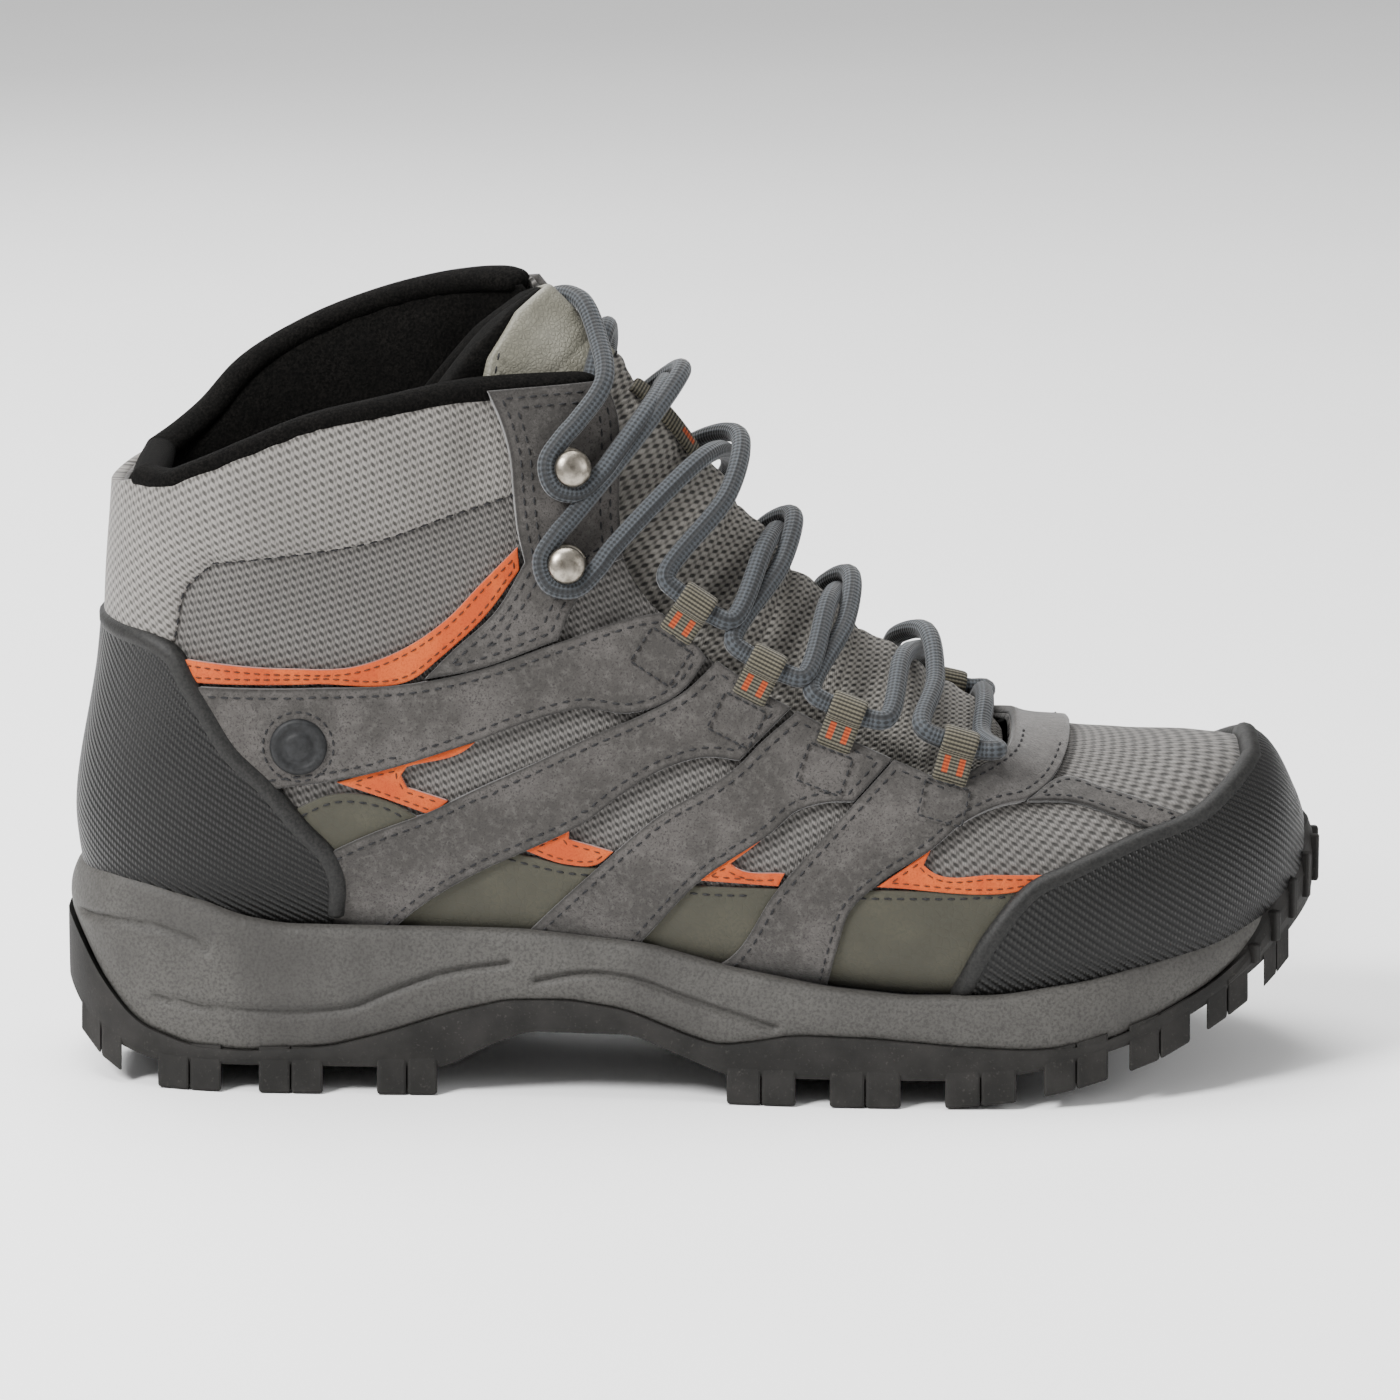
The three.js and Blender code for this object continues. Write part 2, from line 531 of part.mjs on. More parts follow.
// Half of the lace, from the bottom bar up. over says at each crossing whether this half lies on top.
function half_lace(start, over) {
  const other = start === lateral ? medial : lateral;
  const points = [];
  const fittings = [...loop_stations.map((_, i) => through_loop.bind(null, i)),
    ...hook_stations.map((_, i) => round_hook.bind(null, i))];
  const rows = [...loop_stations, ...hook_stations].map(([s]) => s);
  fittings.forEach((fitting, i) => {
    const side = i % 2 === 0 ? start : other;
    points.push(...fitting(side));
    if (i + 1 === fittings.length) return;
    const out = side === lateral ? -1 : 1;
    const from = [rows[i] + 0.22, out * strand_across];
    const to = [rows[i + 1] - 0.22, -out * strand_across];
    const between_loops = i + 1 < loop_stations.length;
    const [rest, edge] = between_loops ? [lace_rest, loop_edge_lift] : [hook_rest, hook_edge_lift];
    points.push(...crossing(from, to, over[i] ? rest + lace_pitch : rest, edge));
  });
  return points;
}

const over_edge = hook_edge_lift + 1.5 - lace_rest;
const lateral_tuck = [[10.42, 0.46, over_edge], [10.7, 0.22, 3], [10.72, -0.14, 0.5], [10.52, -0.38, -0.1],
  [10.1, -0.62, -0.2]];
const medial_tuck = [[10.42, -0.46, over_edge], [10.8, -0.28, 3], [11.25, 0, 0.6], [11.5, 0.33, 0],
  [11.35, 0.56, -0.6], [11.0, 0.78, -0.3]];

function tuck(points) {
  return points.map(([s, across, lift]) => on_form(s, ridge_angle + across, lace_rest + lift));
}

const bar = [-0.5, -0.2, 0.2, 0.5].map((across) => on_form(5.64, ridge_angle + across, lace_rest + 0.6));
const lace_points = [
  ...tuck(lateral_tuck).toReversed(),
  ...half_lace(lateral, [true, false, true, false, true]).toReversed(),
  ...bar,
  ...half_lace(medial, [false, true, false, true, false]),
  ...tuck(medial_tuck),
];
const lace_curve = new THREE.CatmullRomCurve3(lace_points);
const lace_steps = 250;
const lace_sides = 6;

function tube(curve, radius, steps, sides_count) {
  const section = new THREE.Shape(
    Array.from({ length: sides_count }, (_, i) => {
      const turn = (2 * Math.PI * i) / sides_count;
      return new THREE.Vector2(radius * Math.cos(turn), radius * Math.sin(turn));
    }),
  );
  return solid(new THREE.ExtrudeGeometry(section, { steps, extrudePath: curve, bevelEnabled: false }));
}

const aglet_length = 16;
const aglet_radius = 1.6;

// The end of the lace, and the straight aglet just past it.
function aglet(end, before) {
  const along = end.clone().sub(before).normalize();
  const body = new THREE.CylinderGeometry(aglet_radius, aglet_radius, aglet_length, 8);
  body.applyQuaternion(new THREE.Quaternion().setFromUnitVectors(new THREE.Vector3(0, 1, 0), along));
  body.translate(...end.clone().addScaledVector(along, aglet_length / 2 + gap));
  return solid(body);
}

// Each end of the lace, with the point just before it.
const lateral_end = [0, 0.004].map((t) => lace_curve.getPointAt(t));
const medial_end = [1, 0.996].map((t) => lace_curve.getPointAt(t));

// The pocket under the collar edge that takes a tucked end.
function tuck_room(points, end, before) {
  const along = end.clone().sub(before).normalize();
  const past = end.clone().addScaledVector(along, aglet_length + 3);
  const path = new THREE.CatmullRomCurve3([...points, end, past]);
  return tube(path, lace_radius + 3 * gap, 8, 6);
}

const pockets = tuck_room(tuck(lateral_tuck).slice(-3, -1), ...lateral_end)
  .add(tuck_room(tuck(medial_tuck).slice(-3, -1), ...medial_end));

// The upper itself, its foam and stiffeners, and the lining.
const toe_edge = 92;
const counter_outline = [[-170, 10], [-62, 10], [-78, 60], [-100, 96], [-170, 100]];
const puff_outline = [[toe_edge, 10], [toe_edge, 110], [170, 110], [170, 10]];
const collar_outline = [[-170, 102], [-99, 98], [-60, 98], [-20, 112], [10, 112], [10, 260], [-170, 260]];
const foam_layer = band(foam_face - foam_wall, foam_face).subtract(opening).subtract(pockets);

function foam_in(outline) {
  return foam_layer.intersect(side_block(outline, both));
}

function foam_without(...outlines) {
  return outlines.reduce((left, outline) => left.subtract(side_block(grown(outline, gap), both)), foam_layer);
}

add("upper_shell", band(-shell_wall, 0).subtract(opening).subtract(pockets), finishes.mesh);
add("heel_counter", foam_in(counter_outline), finishes.plastic);
add("toe_puff", foam_in(puff_outline), finishes.plastic);
add("collar_foam", foam_in(collar_outline), finishes.foam);
add("midfoot_foam", foam_without(counter_outline, puff_outline, collar_outline), finishes.foam);
add("lining_sock", band(cavity_face, lining_face).subtract(opening).subtract(pockets), finishes.lining);

const binding_stop = 5;

function make_binding() {
  const rim = band(cavity_face, trim_top).intersect(above_collar(gap))
    .subtract(above_collar(gap + binding_height));
  return rim.subtract(side_block(grown(throat, binding_stop), both));
}

add("collar_binding", make_binding(), finishes.lining);

// Fittings: webbing loops, hooks, the keeper on the tongue and the badge.
function place_fitting(geometry, [s, angle], side, lift) {
  geometry.applyMatrix4(placement(s, side_angle(angle, side), lift));
  return solid(geometry);
}

function webbing_loop(side) {
  const out = side === lateral ? 1 : -1;
  const { x: cx, z: cz } = loop_centre;
  const low = Math.asin(-cz / loop_outer);
  const high = Math.asin((tab_wall - cz) / loop_outer);
  const shape = new THREE.Shape();
  shape.moveTo(-loop_tab / 2, 0);
  shape.absarc(cx, cz, loop_outer, Math.PI - low, Math.PI - high + 2 * Math.PI, false);
  shape.lineTo(-loop_tab / 2, tab_wall);
  shape.holes.push(new THREE.Path().absarc(cx, cz, loop_bore, 0, 2 * Math.PI, true));
  const options = { depth: loop_width, bevelEnabled: false, curveSegments: 5 };
  const band_geometry = new THREE.ExtrudeGeometry(shape, options);
  band_geometry.translate(0, 0, -loop_width / 2);
  band_geometry.rotateX(Math.PI / 2);
  if (out < 0) band_geometry.rotateZ(Math.PI);
  return band_geometry;
}

function lace_hook() {
  const under_dome = plate_wall + lace_diameter + 2 * gap;
  const profile = [[0, 0], [hook_plate, 0], [hook_plate, plate_wall], [hook_stem, plate_wall],
    [hook_stem, under_dome], [hook_dome, under_dome], [hook_dome * 0.85, hook_height - 0.7],
    [hook_dome * 0.45, hook_height], [0, hook_height + 0.2]];
  const body = new THREE.LatheGeometry(profile.map(([r, h]) => new THREE.Vector2(r, h)), 12);
  body.rotateX(Math.PI / 2);
  return body;
}

for (const side of sides) {
  loop_stations.forEach((station, i) => {
    const piece = place_fitting(webbing_loop(side), station, side, tab_lift);
    add(`lace_loop_${loop_stations.length - i}_${side.name}`, piece, finishes.webbing);
  });
  hook_stations.forEach((station, i) => {
    const piece = place_fitting(lace_hook(), station, side, tab_lift);
    add(`lace_hook_${hook_stations.length - i}_${side.name}`, piece, finishes.metal);
  });
}

const keeper_outline = [[8, 136], [14, 128], [30, 144], [20, 156]];
const keeper_strip = { from: -9, to: 9 };
add("lace_keeper", band(tongue_face + gap, tongue_face + 1.3)
  .intersect(side_block(keeper_outline, keeper_strip)),
  finishes.webbing);

const badge = new THREE.CylinderGeometry(badge_radius, badge_radius, 1.2, 20);
badge.rotateX(Math.PI / 2);
badge.translate(0, 0, 0.6);
add("badge", place_fitting(badge, [10.22, 1.5], lateral, suede_top + 2 * gap), finishes.rubber);

add("lace", tube(lace_curve, lace_radius, lace_steps, lace_sides), finishes.lace);
add("aglet_lateral", aglet(...lateral_end), finishes.plastic);
add("aglet_medial", aglet(...medial_end), finishes.plastic);

export default group;
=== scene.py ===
"""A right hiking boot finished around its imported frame: sewn upper, padded collar and tongue, laces,
hardware, moulded midsole and lugged outsole. Shapes are worked out in millimetres in the frame's own
axes (+X to the toe, +Y to the inner side, +Z up) and become metres when a piece is finished."""

import math

import bmesh
import bpy
import numpy as np
from mathutils import Matrix, Vector
from mathutils.kdtree import KDTree


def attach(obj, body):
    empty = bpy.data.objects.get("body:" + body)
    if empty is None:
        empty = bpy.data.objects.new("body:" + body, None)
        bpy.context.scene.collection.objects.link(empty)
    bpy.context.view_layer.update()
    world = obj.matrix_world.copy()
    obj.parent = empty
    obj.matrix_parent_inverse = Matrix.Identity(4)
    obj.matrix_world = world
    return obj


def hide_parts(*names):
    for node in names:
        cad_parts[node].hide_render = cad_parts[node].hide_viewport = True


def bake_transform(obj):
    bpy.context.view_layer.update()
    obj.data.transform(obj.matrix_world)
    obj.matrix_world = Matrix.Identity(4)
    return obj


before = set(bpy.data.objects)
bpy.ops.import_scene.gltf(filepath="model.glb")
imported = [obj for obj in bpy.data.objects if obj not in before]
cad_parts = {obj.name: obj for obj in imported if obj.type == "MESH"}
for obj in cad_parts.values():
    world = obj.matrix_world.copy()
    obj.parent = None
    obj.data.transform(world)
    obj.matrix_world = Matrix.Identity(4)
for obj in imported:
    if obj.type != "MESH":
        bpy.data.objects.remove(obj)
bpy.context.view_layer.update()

MM = 0.001
PI = math.pi
BOOT = "boot"
SIDES = {"lateral": -1, "medial": 1}


# ---------------------------------------------------------------- camera, light and floor

CAMERA_DISTANCE = 1.8
CAMERA_RISE = math.radians(12)
CAMERA_LEVEL = 0.095
CAMERA_AIM = (0.0022, -0.0011, 0.0897)
LENS = 187
LIGHT_AIM = (0, 0, 0.08)
STUDIO_LIGHTS = [  # name, power, size, place
    ("key", 62, 0.6, (-1.1, -0.8, 1.3)),
    ("top", 34, 1.1, (-0.2, 0.3, 1.6)),
    ("toe_side", 8, 0.8, (1.3, -0.6, 0.7)),
    ("back", 10, 0.9, (-0.6, 1.2, 0.9)),
]


def aimed(name, data, place, aim):
    """A camera or a light at a place, turned to look at its aim."""
    item = bpy.data.objects.new(name, data)
    item.location = place
    item.rotation_euler = (Vector(aim) - item.location).to_track_quat("-Z", "Y").to_euler()
    bpy.context.scene.collection.objects.link(item)
    return item


def place_camera():
    lens = bpy.data.cameras.new("camera")
    lens.sensor_width = 36
    lens.lens = LENS
    back = CAMERA_DISTANCE * math.cos(CAMERA_RISE)
    place = (0, -back, CAMERA_LEVEL + CAMERA_DISTANCE * math.sin(CAMERA_RISE))
    bpy.context.scene.camera = aimed("camera", lens, place, CAMERA_AIM)


def light_studio():
    world = bpy.data.worlds.new("studio")
    world.use_nodes = True
    world.node_tree.nodes["Background"].inputs["Color"].default_value = (1, 1, 1, 1)
    world.node_tree.nodes["Background"].inputs["Strength"].default_value = 0.5
    bpy.context.scene.world = world
    for name, power, size, place in STUDIO_LIGHTS:
        light = bpy.data.lights.new(name, "AREA")
        light.energy = power
        light.size = size
        aimed(name, light, place, LIGHT_AIM)


place_camera()
light_studio()


# ---------------------------------------------------------------- shader expressions

DYE = 0.5
TWILL = math.radians(33)
LACE_DIAMETER = 4.8
LACE_GIRTH = PI * LACE_DIAMETER
LOOP_WIDTH = 8.6


def srgb(red, green, blue, dye=DYE):
    """A colour from 0 to 255, deepened by the dye so that it reads true under the studio lights."""
    def linear(c):
        c /= 255
        return dye * (c / 12.92 if c <= 0.04045 else ((c + 0.055) / 1.055) ** 2.4)
    return (linear(red), linear(green), linear(blue), 1)


class Wire:
    """A number socket that takes part in Python expressions."""

    def __init__(self, finish, socket):
        self.finish = finish
        self.socket = socket

    def math(self, operation, *values):
        return self.finish.node("ShaderNodeMath", {"operation": operation}, dict(enumerate(values)))["Value"]

    def __add__(self, other):
        return self.math("ADD", self, other)

    def __sub__(self, other):
        return self.math("SUBTRACT", self, other)

    def __rsub__(self, other):
        return self.math("SUBTRACT", other, self)

    def __mul__(self, other):
        return self.math("MULTIPLY", self, other)

    __radd__ = __add__
    __rmul__ = __mul__

    def cosine(self):
        return self.math("COSINE", self)

    def size(self):
        return self.math("ABSOLUTE", self)

    def step(self, low, high):
        """0 below low and 1 above high, with a soft change between them."""
        inputs = {"Value": self, "From Min": low, "From Max": high}
        return self.finish.node("ShaderNodeMapRange", {"interpolation_type": "SMOOTHSTEP"}, inputs)["Result"]


class Finish:
    """One procedural material, built up from nodes around a Principled shader."""

    def __init__(self, name, roughness, **fixed):
        self.material = bpy.data.materials.new(name)
        self.material.use_nodes = True
        self.tree = self.material.node_tree
        self.shader = self.tree.nodes["Principled BSDF"]
        self.shader.inputs["Roughness"].default_value = roughness
        for key, value in fixed.items():
            self.shader.inputs[key.replace("_", " ").title().replace("Ior", "IOR")].default_value = value

    def node(self, kind, settings, inputs):
        made = self.tree.nodes.new(kind)
        for key, value in settings.items():
            setattr(made, key, value)
        for key, value in inputs.items():
            if isinstance(value, Wire):
                self.tree.links.new(value.socket, made.inputs[key])
            else:
                made.inputs[key].default_value = value
        return {socket.name: Wire(self, socket) for socket in made.outputs if socket.enabled}

    def place(self):
        """Object coordinates."""
        return self.node("ShaderNodeTexCoord", {}, {})["Object"]

    def pattern(self):
        """The piece's own pattern coordinates, in millimetres."""
        made = self.node("ShaderNodeUVMap", {"uv_map": "pattern"}, {})["UV"]
        parts = self.node("ShaderNodeSeparateXYZ", {}, {"Vector": made})
        return parts["X"], parts["Y"]

    def attribute(self, name):
        return self.node("ShaderNodeAttribute", {"attribute_name": name}, {})["Fac"]

    def noise(self, grain, detail=2, roughness=0.55):
        """Noise whose features are about grain millimetres wide."""
        inputs = {"Vector": self.place(), "Scale": 1000 / grain, "Detail": detail, "Roughness": roughness}
        return self.node("ShaderNodeTexNoise", {}, inputs)["Fac"]

    def cells(self, grain, feature):
        """Small cells about grain millimetres wide, as in leather and foam skin."""
        inputs = {"Vector": self.place(), "Scale": 1000 / grain}
        return self.node("ShaderNodeTexVoronoi", {"feature": feature}, inputs)["Distance"]

    def mix(self, share, first, second):
        """The first colour where share is 0, and the second where it is 1."""
        made = self.tree.nodes.new("ShaderNodeMix")
        made.data_type = "RGBA"
        for socket, value in zip((made.inputs[0], made.inputs[6], made.inputs[7]), (share, first, second)):
            if isinstance(value, Wire):
                self.tree.links.new(value.socket, socket)
            else:
                socket.default_value = value
        return Wire(self, made.outputs[2])

    def colour(self, value):
        self.tree.links.new(value.socket, self.shader.inputs["Base Color"])
        return self

    def rough(self, value):
        self.tree.links.new(value.socket, self.shader.inputs["Roughness"])
        return self

    def raise_by(self, height, depth, strength=1.0):
        """Relief: height from 0 to 1, over depth millimetres."""
        inputs = {"Height": height, "Distance": depth * MM, "Strength": strength}
        bump = self.node("ShaderNodeBump", {}, inputs)["Normal"]
        self.tree.links.new(bump.socket, self.shader.inputs["Normal"])
        return self


def wave(value, period):
    """A cosine from 0 to 1 along a coordinate."""
    return (value * (2 * PI / period)).cosine() * 0.5 + 0.5


def twilled(u, v):
    """Pattern coordinates turned to the slant of the weave: down across the rows and dash along them."""
    return u * math.sin(TWILL) + v * math.cos(TWILL), u * math.cos(TWILL) - v * math.sin(TWILL)


def suede():
    f = Finish("grey_suede", 0.92, sheen_weight=0.25, sheen_roughness=0.5, specular_ior_level=0.2)
    fibres = f.noise(0.55, 3, 0.7)
    brushed = f.noise(16, 3, 0.6)
    flecks = f.noise(1.7, 2, 0.6)
    tone = f.mix(brushed.step(0.36, 0.66), srgb(76, 73, 70), srgb(100, 96, 93))
    tone = f.mix(flecks.step(0.42, 0.75) * 0.3, tone, srgb(132, 128, 124))
    tone = f.mix(fibres.step(0.3, 0.52), srgb(60, 57, 55), tone)
    # painted shade: the suede darkens towards each panel's edge and over its cut wall, standing in for the
    # shadow lines between panels
    painted_edge_shade = 1 - f.attribute("edge").step(0.0, 1.1)
    tone = f.mix(painted_edge_shade * 0.85, tone, srgb(46, 44, 42))
    return f.colour(tone).raise_by(fibres * 0.6 + flecks * 0.4, 0.35, 0.8)


def nubuck():
    f = Finish("olive_nubuck", 0.75, sheen_weight=0.12, specular_ior_level=0.3)
    grain = f.noise(0.8, 3, 0.65)
    patches = f.noise(13, 3)
    tone = f.mix(patches.step(0.35, 0.7), srgb(70, 67, 53), srgb(92, 88, 72))
    tone = f.mix(grain.step(0.35, 0.6) * 0.6, srgb(76, 75, 63), tone)
    creases = f.cells(2.2, "DISTANCE_TO_EDGE").step(0.0, 0.12)
    return f.colour(tone).raise_by(grain * 0.5 + creases * 0.3, 0.25, 0.5)


def orange_felt():
    f = Finish("orange_microfibre", 0.8, sheen_weight=0.2, specular_ior_level=0.25)
    fibres = f.noise(0.5, 3, 0.7)
    patches = f.noise(9, 2)
    tone = f.mix(patches.step(0.3, 0.7), srgb(226, 88, 24), srgb(246, 112, 40))
    tone = f.mix(fibres.step(0.3, 0.55) * 0.6 + 0.4, srgb(190, 66, 16), tone)
    return f.colour(tone).raise_by(fibres, 0.2, 0.5)


def woven_mesh(name, light, dark, across, along, depth):
    """Staggered raised picks over dark pits: across and along are the pitches of the picks and rows."""
    f = Finish(name, 0.7, sheen_weight=0.1, specular_ior_level=0.35)
    wobble = f.noise(7, 2) * 0.7
    down, dash = twilled(*f.pattern())
    rows = (down * (2 * PI / along) + wobble).cosine()
    picks = rows * (dash * (2 * PI / across) + down * (PI / along) + wobble).cosine()
    strands = (dash * (2 * PI / across * 4) + down * (2 * PI / along)).cosine() * 0.5 + 0.5
    raised = picks * 0.35 + rows * 0.15 + 0.5
    patches = f.noise(24, 2)
    tone = f.mix(raised.step(0.18, 0.72), dark, light)
    tone = f.mix(strands * raised.step(0.5, 0.9) * 0.3, tone, srgb(196, 192, 186))
    tone = f.mix(patches.step(0.35, 0.7) * 0.16, tone, dark)
    f.rough(0.82 - raised * 0.25)
    return f.colour(tone).raise_by(raised * 0.85 + strands * 0.15, depth, 0.9)


def ridged_textile():
    """Black coated textile with small glossy ridges in rows."""
    f = Finish("black_ridged_textile", 0.4, specular_ior_level=0.28)
    down, dash = twilled(*f.pattern())
    rows = wave(down, 1.5)
    beads = wave(dash + down * 0.5, 0.95)
    raised = rows * (beads * 0.55 + 0.45)
    dust = f.noise(14, 3)
    # painted highlight: the raised ridges are coloured lighter than the near-black base, standing in for the
    # glint on the glossy ridges
    tone = f.mix(raised.step(0.25, 0.8), srgb(4, 4, 4), srgb(44, 43, 41))
    tone = f.mix(dust.step(0.45, 0.8) * 0.2, tone, srgb(40, 39, 37))
    f.rough(0.55 - raised * 0.25)
    return f.colour(tone).raise_by(raised, 0.4, 0.9)


def knit_lining():
    f = Finish("black_knit", 0.95, specular_ior_level=0.08)
    fuzz = f.noise(0.7, 3, 0.75)
    nap = f.noise(5, 2)
    tone = f.mix(fuzz.step(0.36, 0.7), srgb(5, 5, 4), srgb(32, 30, 28))
    tone = f.mix(nap.step(0.35, 0.7) * 0.35, tone, srgb(6, 6, 6))
    return f.colour(tone).raise_by(fuzz, 0.45, 0.8)


def tongue_leather():
    f = Finish("olive_grey_leather", 0.5, specular_ior_level=0.45, sheen_weight=0.05)
    grain = f.cells(1.1, "DISTANCE_TO_EDGE").step(0.0, 0.25)
    patches = f.noise(12, 3)
    tone = f.mix(patches.step(0.3, 0.72), srgb(142, 139, 122), srgb(176, 173, 156))
    tone = f.mix((1 - grain) * 0.35, tone, srgb(104, 102, 90))
    f.rough(0.58 - patches * 0.15)
    return f.colour(tone).raise_by(grain * 0.6 + f.noise(0.6, 2) * 0.4, 0.2, 0.6)


def midsole_foam():
    f = Finish("grey_foam", 0.62, specular_ior_level=0.25)
    grain = f.cells(1.0, "SMOOTH_F1")
    fine = f.noise(0.7, 3, 0.6)
    patches = f.noise(30, 3)
    tone = f.mix(patches.step(0.3, 0.7), srgb(82, 80, 77), srgb(102, 100, 96))
    tone = f.mix(fine.step(0.3, 0.62) * 0.7 + 0.3, srgb(64, 62, 60), tone)
    f.rough(0.72 - grain * 0.2)
    return f.colour(tone).raise_by(grain * 0.6 + fine * 0.4, 0.3, 0.7)


def tread_rubber():
    f = Finish("charcoal_rubber", 0.72, specular_ior_level=0.22)
    speck = f.noise(0.9, 3, 0.7)
    dust = f.noise(11, 4)
    tone = f.mix(dust.step(0.32, 0.72), srgb(34, 33, 31), srgb(54, 52, 50))
    tone = f.mix(speck.step(0.58, 0.75) * 0.35, tone, srgb(104, 100, 95))
    f.rough(0.62 + dust * 0.25)
    return f.colour(tone).raise_by(speck, 0.18, 0.5)


def braided_cord():
    """Blue-grey braid with two darker stripes: u runs along the cord and v around it, both in millimetres."""
    f = Finish("blue_grey_cord", 0.7, sheen_weight=0.15, specular_ior_level=0.35)
    u, v = f.pattern()
    plaits, plait_pitch, stripes = 6, 2.2, 3
    turns = v * (2 * PI / LACE_GIRTH)
    left = (turns * plaits + u * (2 * PI / plait_pitch)).cosine()
    right = (turns * plaits - u * (2 * PI / plait_pitch)).cosine()
    braid = left * right * 0.5 + 0.5
    stripe = (turns * stripes + 0.6).cosine().step(0.45, 0.8)
    tone = f.mix(braid.step(0.2, 0.7), srgb(28, 31, 34), srgb(78, 84, 90))
    tone = f.mix(stripe * 0.75, tone, srgb(20, 21, 23))
    return f.colour(tone).raise_by(braid, 0.3, 0.8)


def worn_nickel():
    f = Finish("antique_nickel", 0.3, metallic=1)
    tarnish = f.noise(2.6, 4, 0.6)
    tone = f.mix(tarnish.step(0.38, 0.7), srgb(214, 205, 190), srgb(134, 127, 115))
    f.rough(0.24 + tarnish * 0.22)
    return f.colour(tone).raise_by(f.noise(0.8, 2), 0.05, 0.3)


def loop_webbing():
    """Flat webbing with orange bars across: u across the width and v along the strip."""
    f = Finish("olive_webbing", 0.8, sheen_weight=0.1, specular_ior_level=0.25)
    u, v = f.pattern()
    ribs = wave(v, 0.85)
    ends = wave(u, 0.9)
    weave = ribs * 0.6 + ends * ribs * 0.4
    tone = f.mix(weave.step(0.15, 0.7), srgb(52, 49, 40), srgb(128, 122, 104))
    bar_off_middle, bar_from_root = 1.9, 6.0
    beside_bars = ((u - LOOP_WIDTH / 2).size() - bar_off_middle).size().step(0.6, 0.9)
    past_bars = (v - bar_from_root).size().step(1.9, 2.3)
    bars = (1 - beside_bars) * (1 - past_bars)
    tone = f.mix(bars, tone, f.mix(weave.step(0.15, 0.7), srgb(150, 56, 20), srgb(224, 98, 44)))
    return f.colour(tone).raise_by(weave, 0.25, 0.8)


def plain_finish(name, light, dark, grain, roughness, relief=0.1):
    f = Finish(name, roughness, specular_ior_level=0.3)
    speck = f.noise(grain, 3, 0.6)
    return f.colour(f.mix(speck.step(0.3, 0.7), dark, light)).raise_by(speck, relief, 0.5)


finishes = {
    "grey_suede": suede(),
    "olive_nubuck": nubuck(),
    "orange_trim": orange_felt(),
    "upper_mesh": woven_mesh("grey_mesh", srgb(128, 124, 120), srgb(58, 56, 53), 2.4, 1.75, 0.45),
    "collar_mesh": woven_mesh("collar_mesh", srgb(174, 169, 163), srgb(86, 83, 79), 2.4, 1.75, 0.45),
    "tongue_mesh": woven_mesh("tongue_mesh", srgb(172, 167, 158), srgb(56, 54, 51), 2.5, 2.0, 0.6),
    "cap_textile": ridged_textile(),
    "lining_knit": knit_lining(),
    "binding_tape": knit_lining(),
    "tongue_leather": tongue_leather(),
    "midsole_foam": midsole_foam(),
    "tread_rubber": tread_rubber(),
    "lace_cord": braided_cord(),
    "hook_nickel": worn_nickel(),
    "loop_webbing": loop_webbing(),
    "thread": plain_finish("dark_thread", srgb(58, 58, 60), srgb(22, 22, 24), 0.5, 0.75, 0.08),
    "brown_thread": plain_finish("brown_thread", srgb(132, 62, 28), srgb(84, 38, 18), 0.5, 0.75, 0.08),
    "folded_rim": plain_finish("folded_rim", srgb(46, 45, 43), srgb(14, 14, 13), 0.7, 0.6, 0.25),
    "aglet_plastic": plain_finish("black_plastic", srgb(34, 35, 38), srgb(22, 23, 25), 4, 0.35),
    "stiffener_plastic": plain_finish("stiffener_plastic", srgb(58, 60, 64), srgb(40, 42, 46), 3, 0.5),
    "insole_board": plain_finish("fibre_board", srgb(186, 156, 112), srgb(140, 112, 78), 1.4, 0.85, 0.2),
    "padding_foam": plain_finish("padding_foam", srgb(206, 200, 184), srgb(168, 162, 148), 1.1, 0.9, 0.3),
    "footbed_foam": plain_finish("footbed_cloth", srgb(44, 43, 44), srgb(20, 20, 21), 0.8, 0.92, 0.3),
    "badge_rubber": plain_finish("badge_rubber", srgb(44, 45, 47), srgb(24, 25, 26), 1.2, 0.6, 0.12),
}


# ---------------------------------------------------------------- pieces

def finish_piece(bm, name, slot, body, nodes=(), finish=None, smooth=True, blend=None, merge=0.001):
    """Turns a mesh worked out in millimetres into a named piece that rides on its body."""
    bmesh.ops.remove_doubles(bm, verts=bm.verts, dist=merge)
    bmesh.ops.recalc_face_normals(bm, faces=bm.faces)
    bmesh.ops.scale(bm, vec=(MM, MM, MM), verts=bm.verts)
    mesh = bpy.data.meshes.new(name)
    bm.to_mesh(mesh)
    bm.free()
    for polygon in mesh.polygons:
        polygon.use_smooth = smooth
    piece = bpy.data.objects.new(name, mesh)
    bpy.context.scene.collection.objects.link(piece)
    mesh.materials.append(finishes[finish or slot].material)
    if blend:
        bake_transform(piece)
    else:
        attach(piece, body)
    if nodes:
        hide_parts(*nodes)
    return piece


def lofted(points, around=False, along=False, caps=False, u=None, v=None):
    """A surface through rows of points. around joins each row to itself, along joins last row to first."""
    points = np.array(points, float)
    if around:
        points = np.concatenate([points, points[:, :1]], 1)
    if along:
        points = np.concatenate([points, points[:1]], 0)
    rows, columns = points.shape[:2]
    bm = bmesh.new()
    uv = bm.loops.layers.uv.new("pattern")
    bmesh.ops.create_grid(bm, x_segments=rows - 1, y_segments=columns - 1, size=1)
    index = {}
    for vert in bm.verts:
        index[vert] = (round((vert.co.x + 1) / 2 * (rows - 1)), round((vert.co.y + 1) / 2 * (columns - 1)))
    for face in bm.faces:
        for loop in face.loops:
            i, j = index[loop.vert]
            loop[uv].uv = (u[i] if u is not None else i, v[j] if v is not None else j)
    for vert, (i, j) in index.items():
        vert.co = points[i, j]
    bmesh.ops.remove_doubles(bm, verts=bm.verts, dist=1e-4)
    if caps:
        open_edges = [edge for edge in bm.edges if edge.is_boundary]
        bmesh.ops.holes_fill(bm, edges=open_edges, sides=0)
    return bm


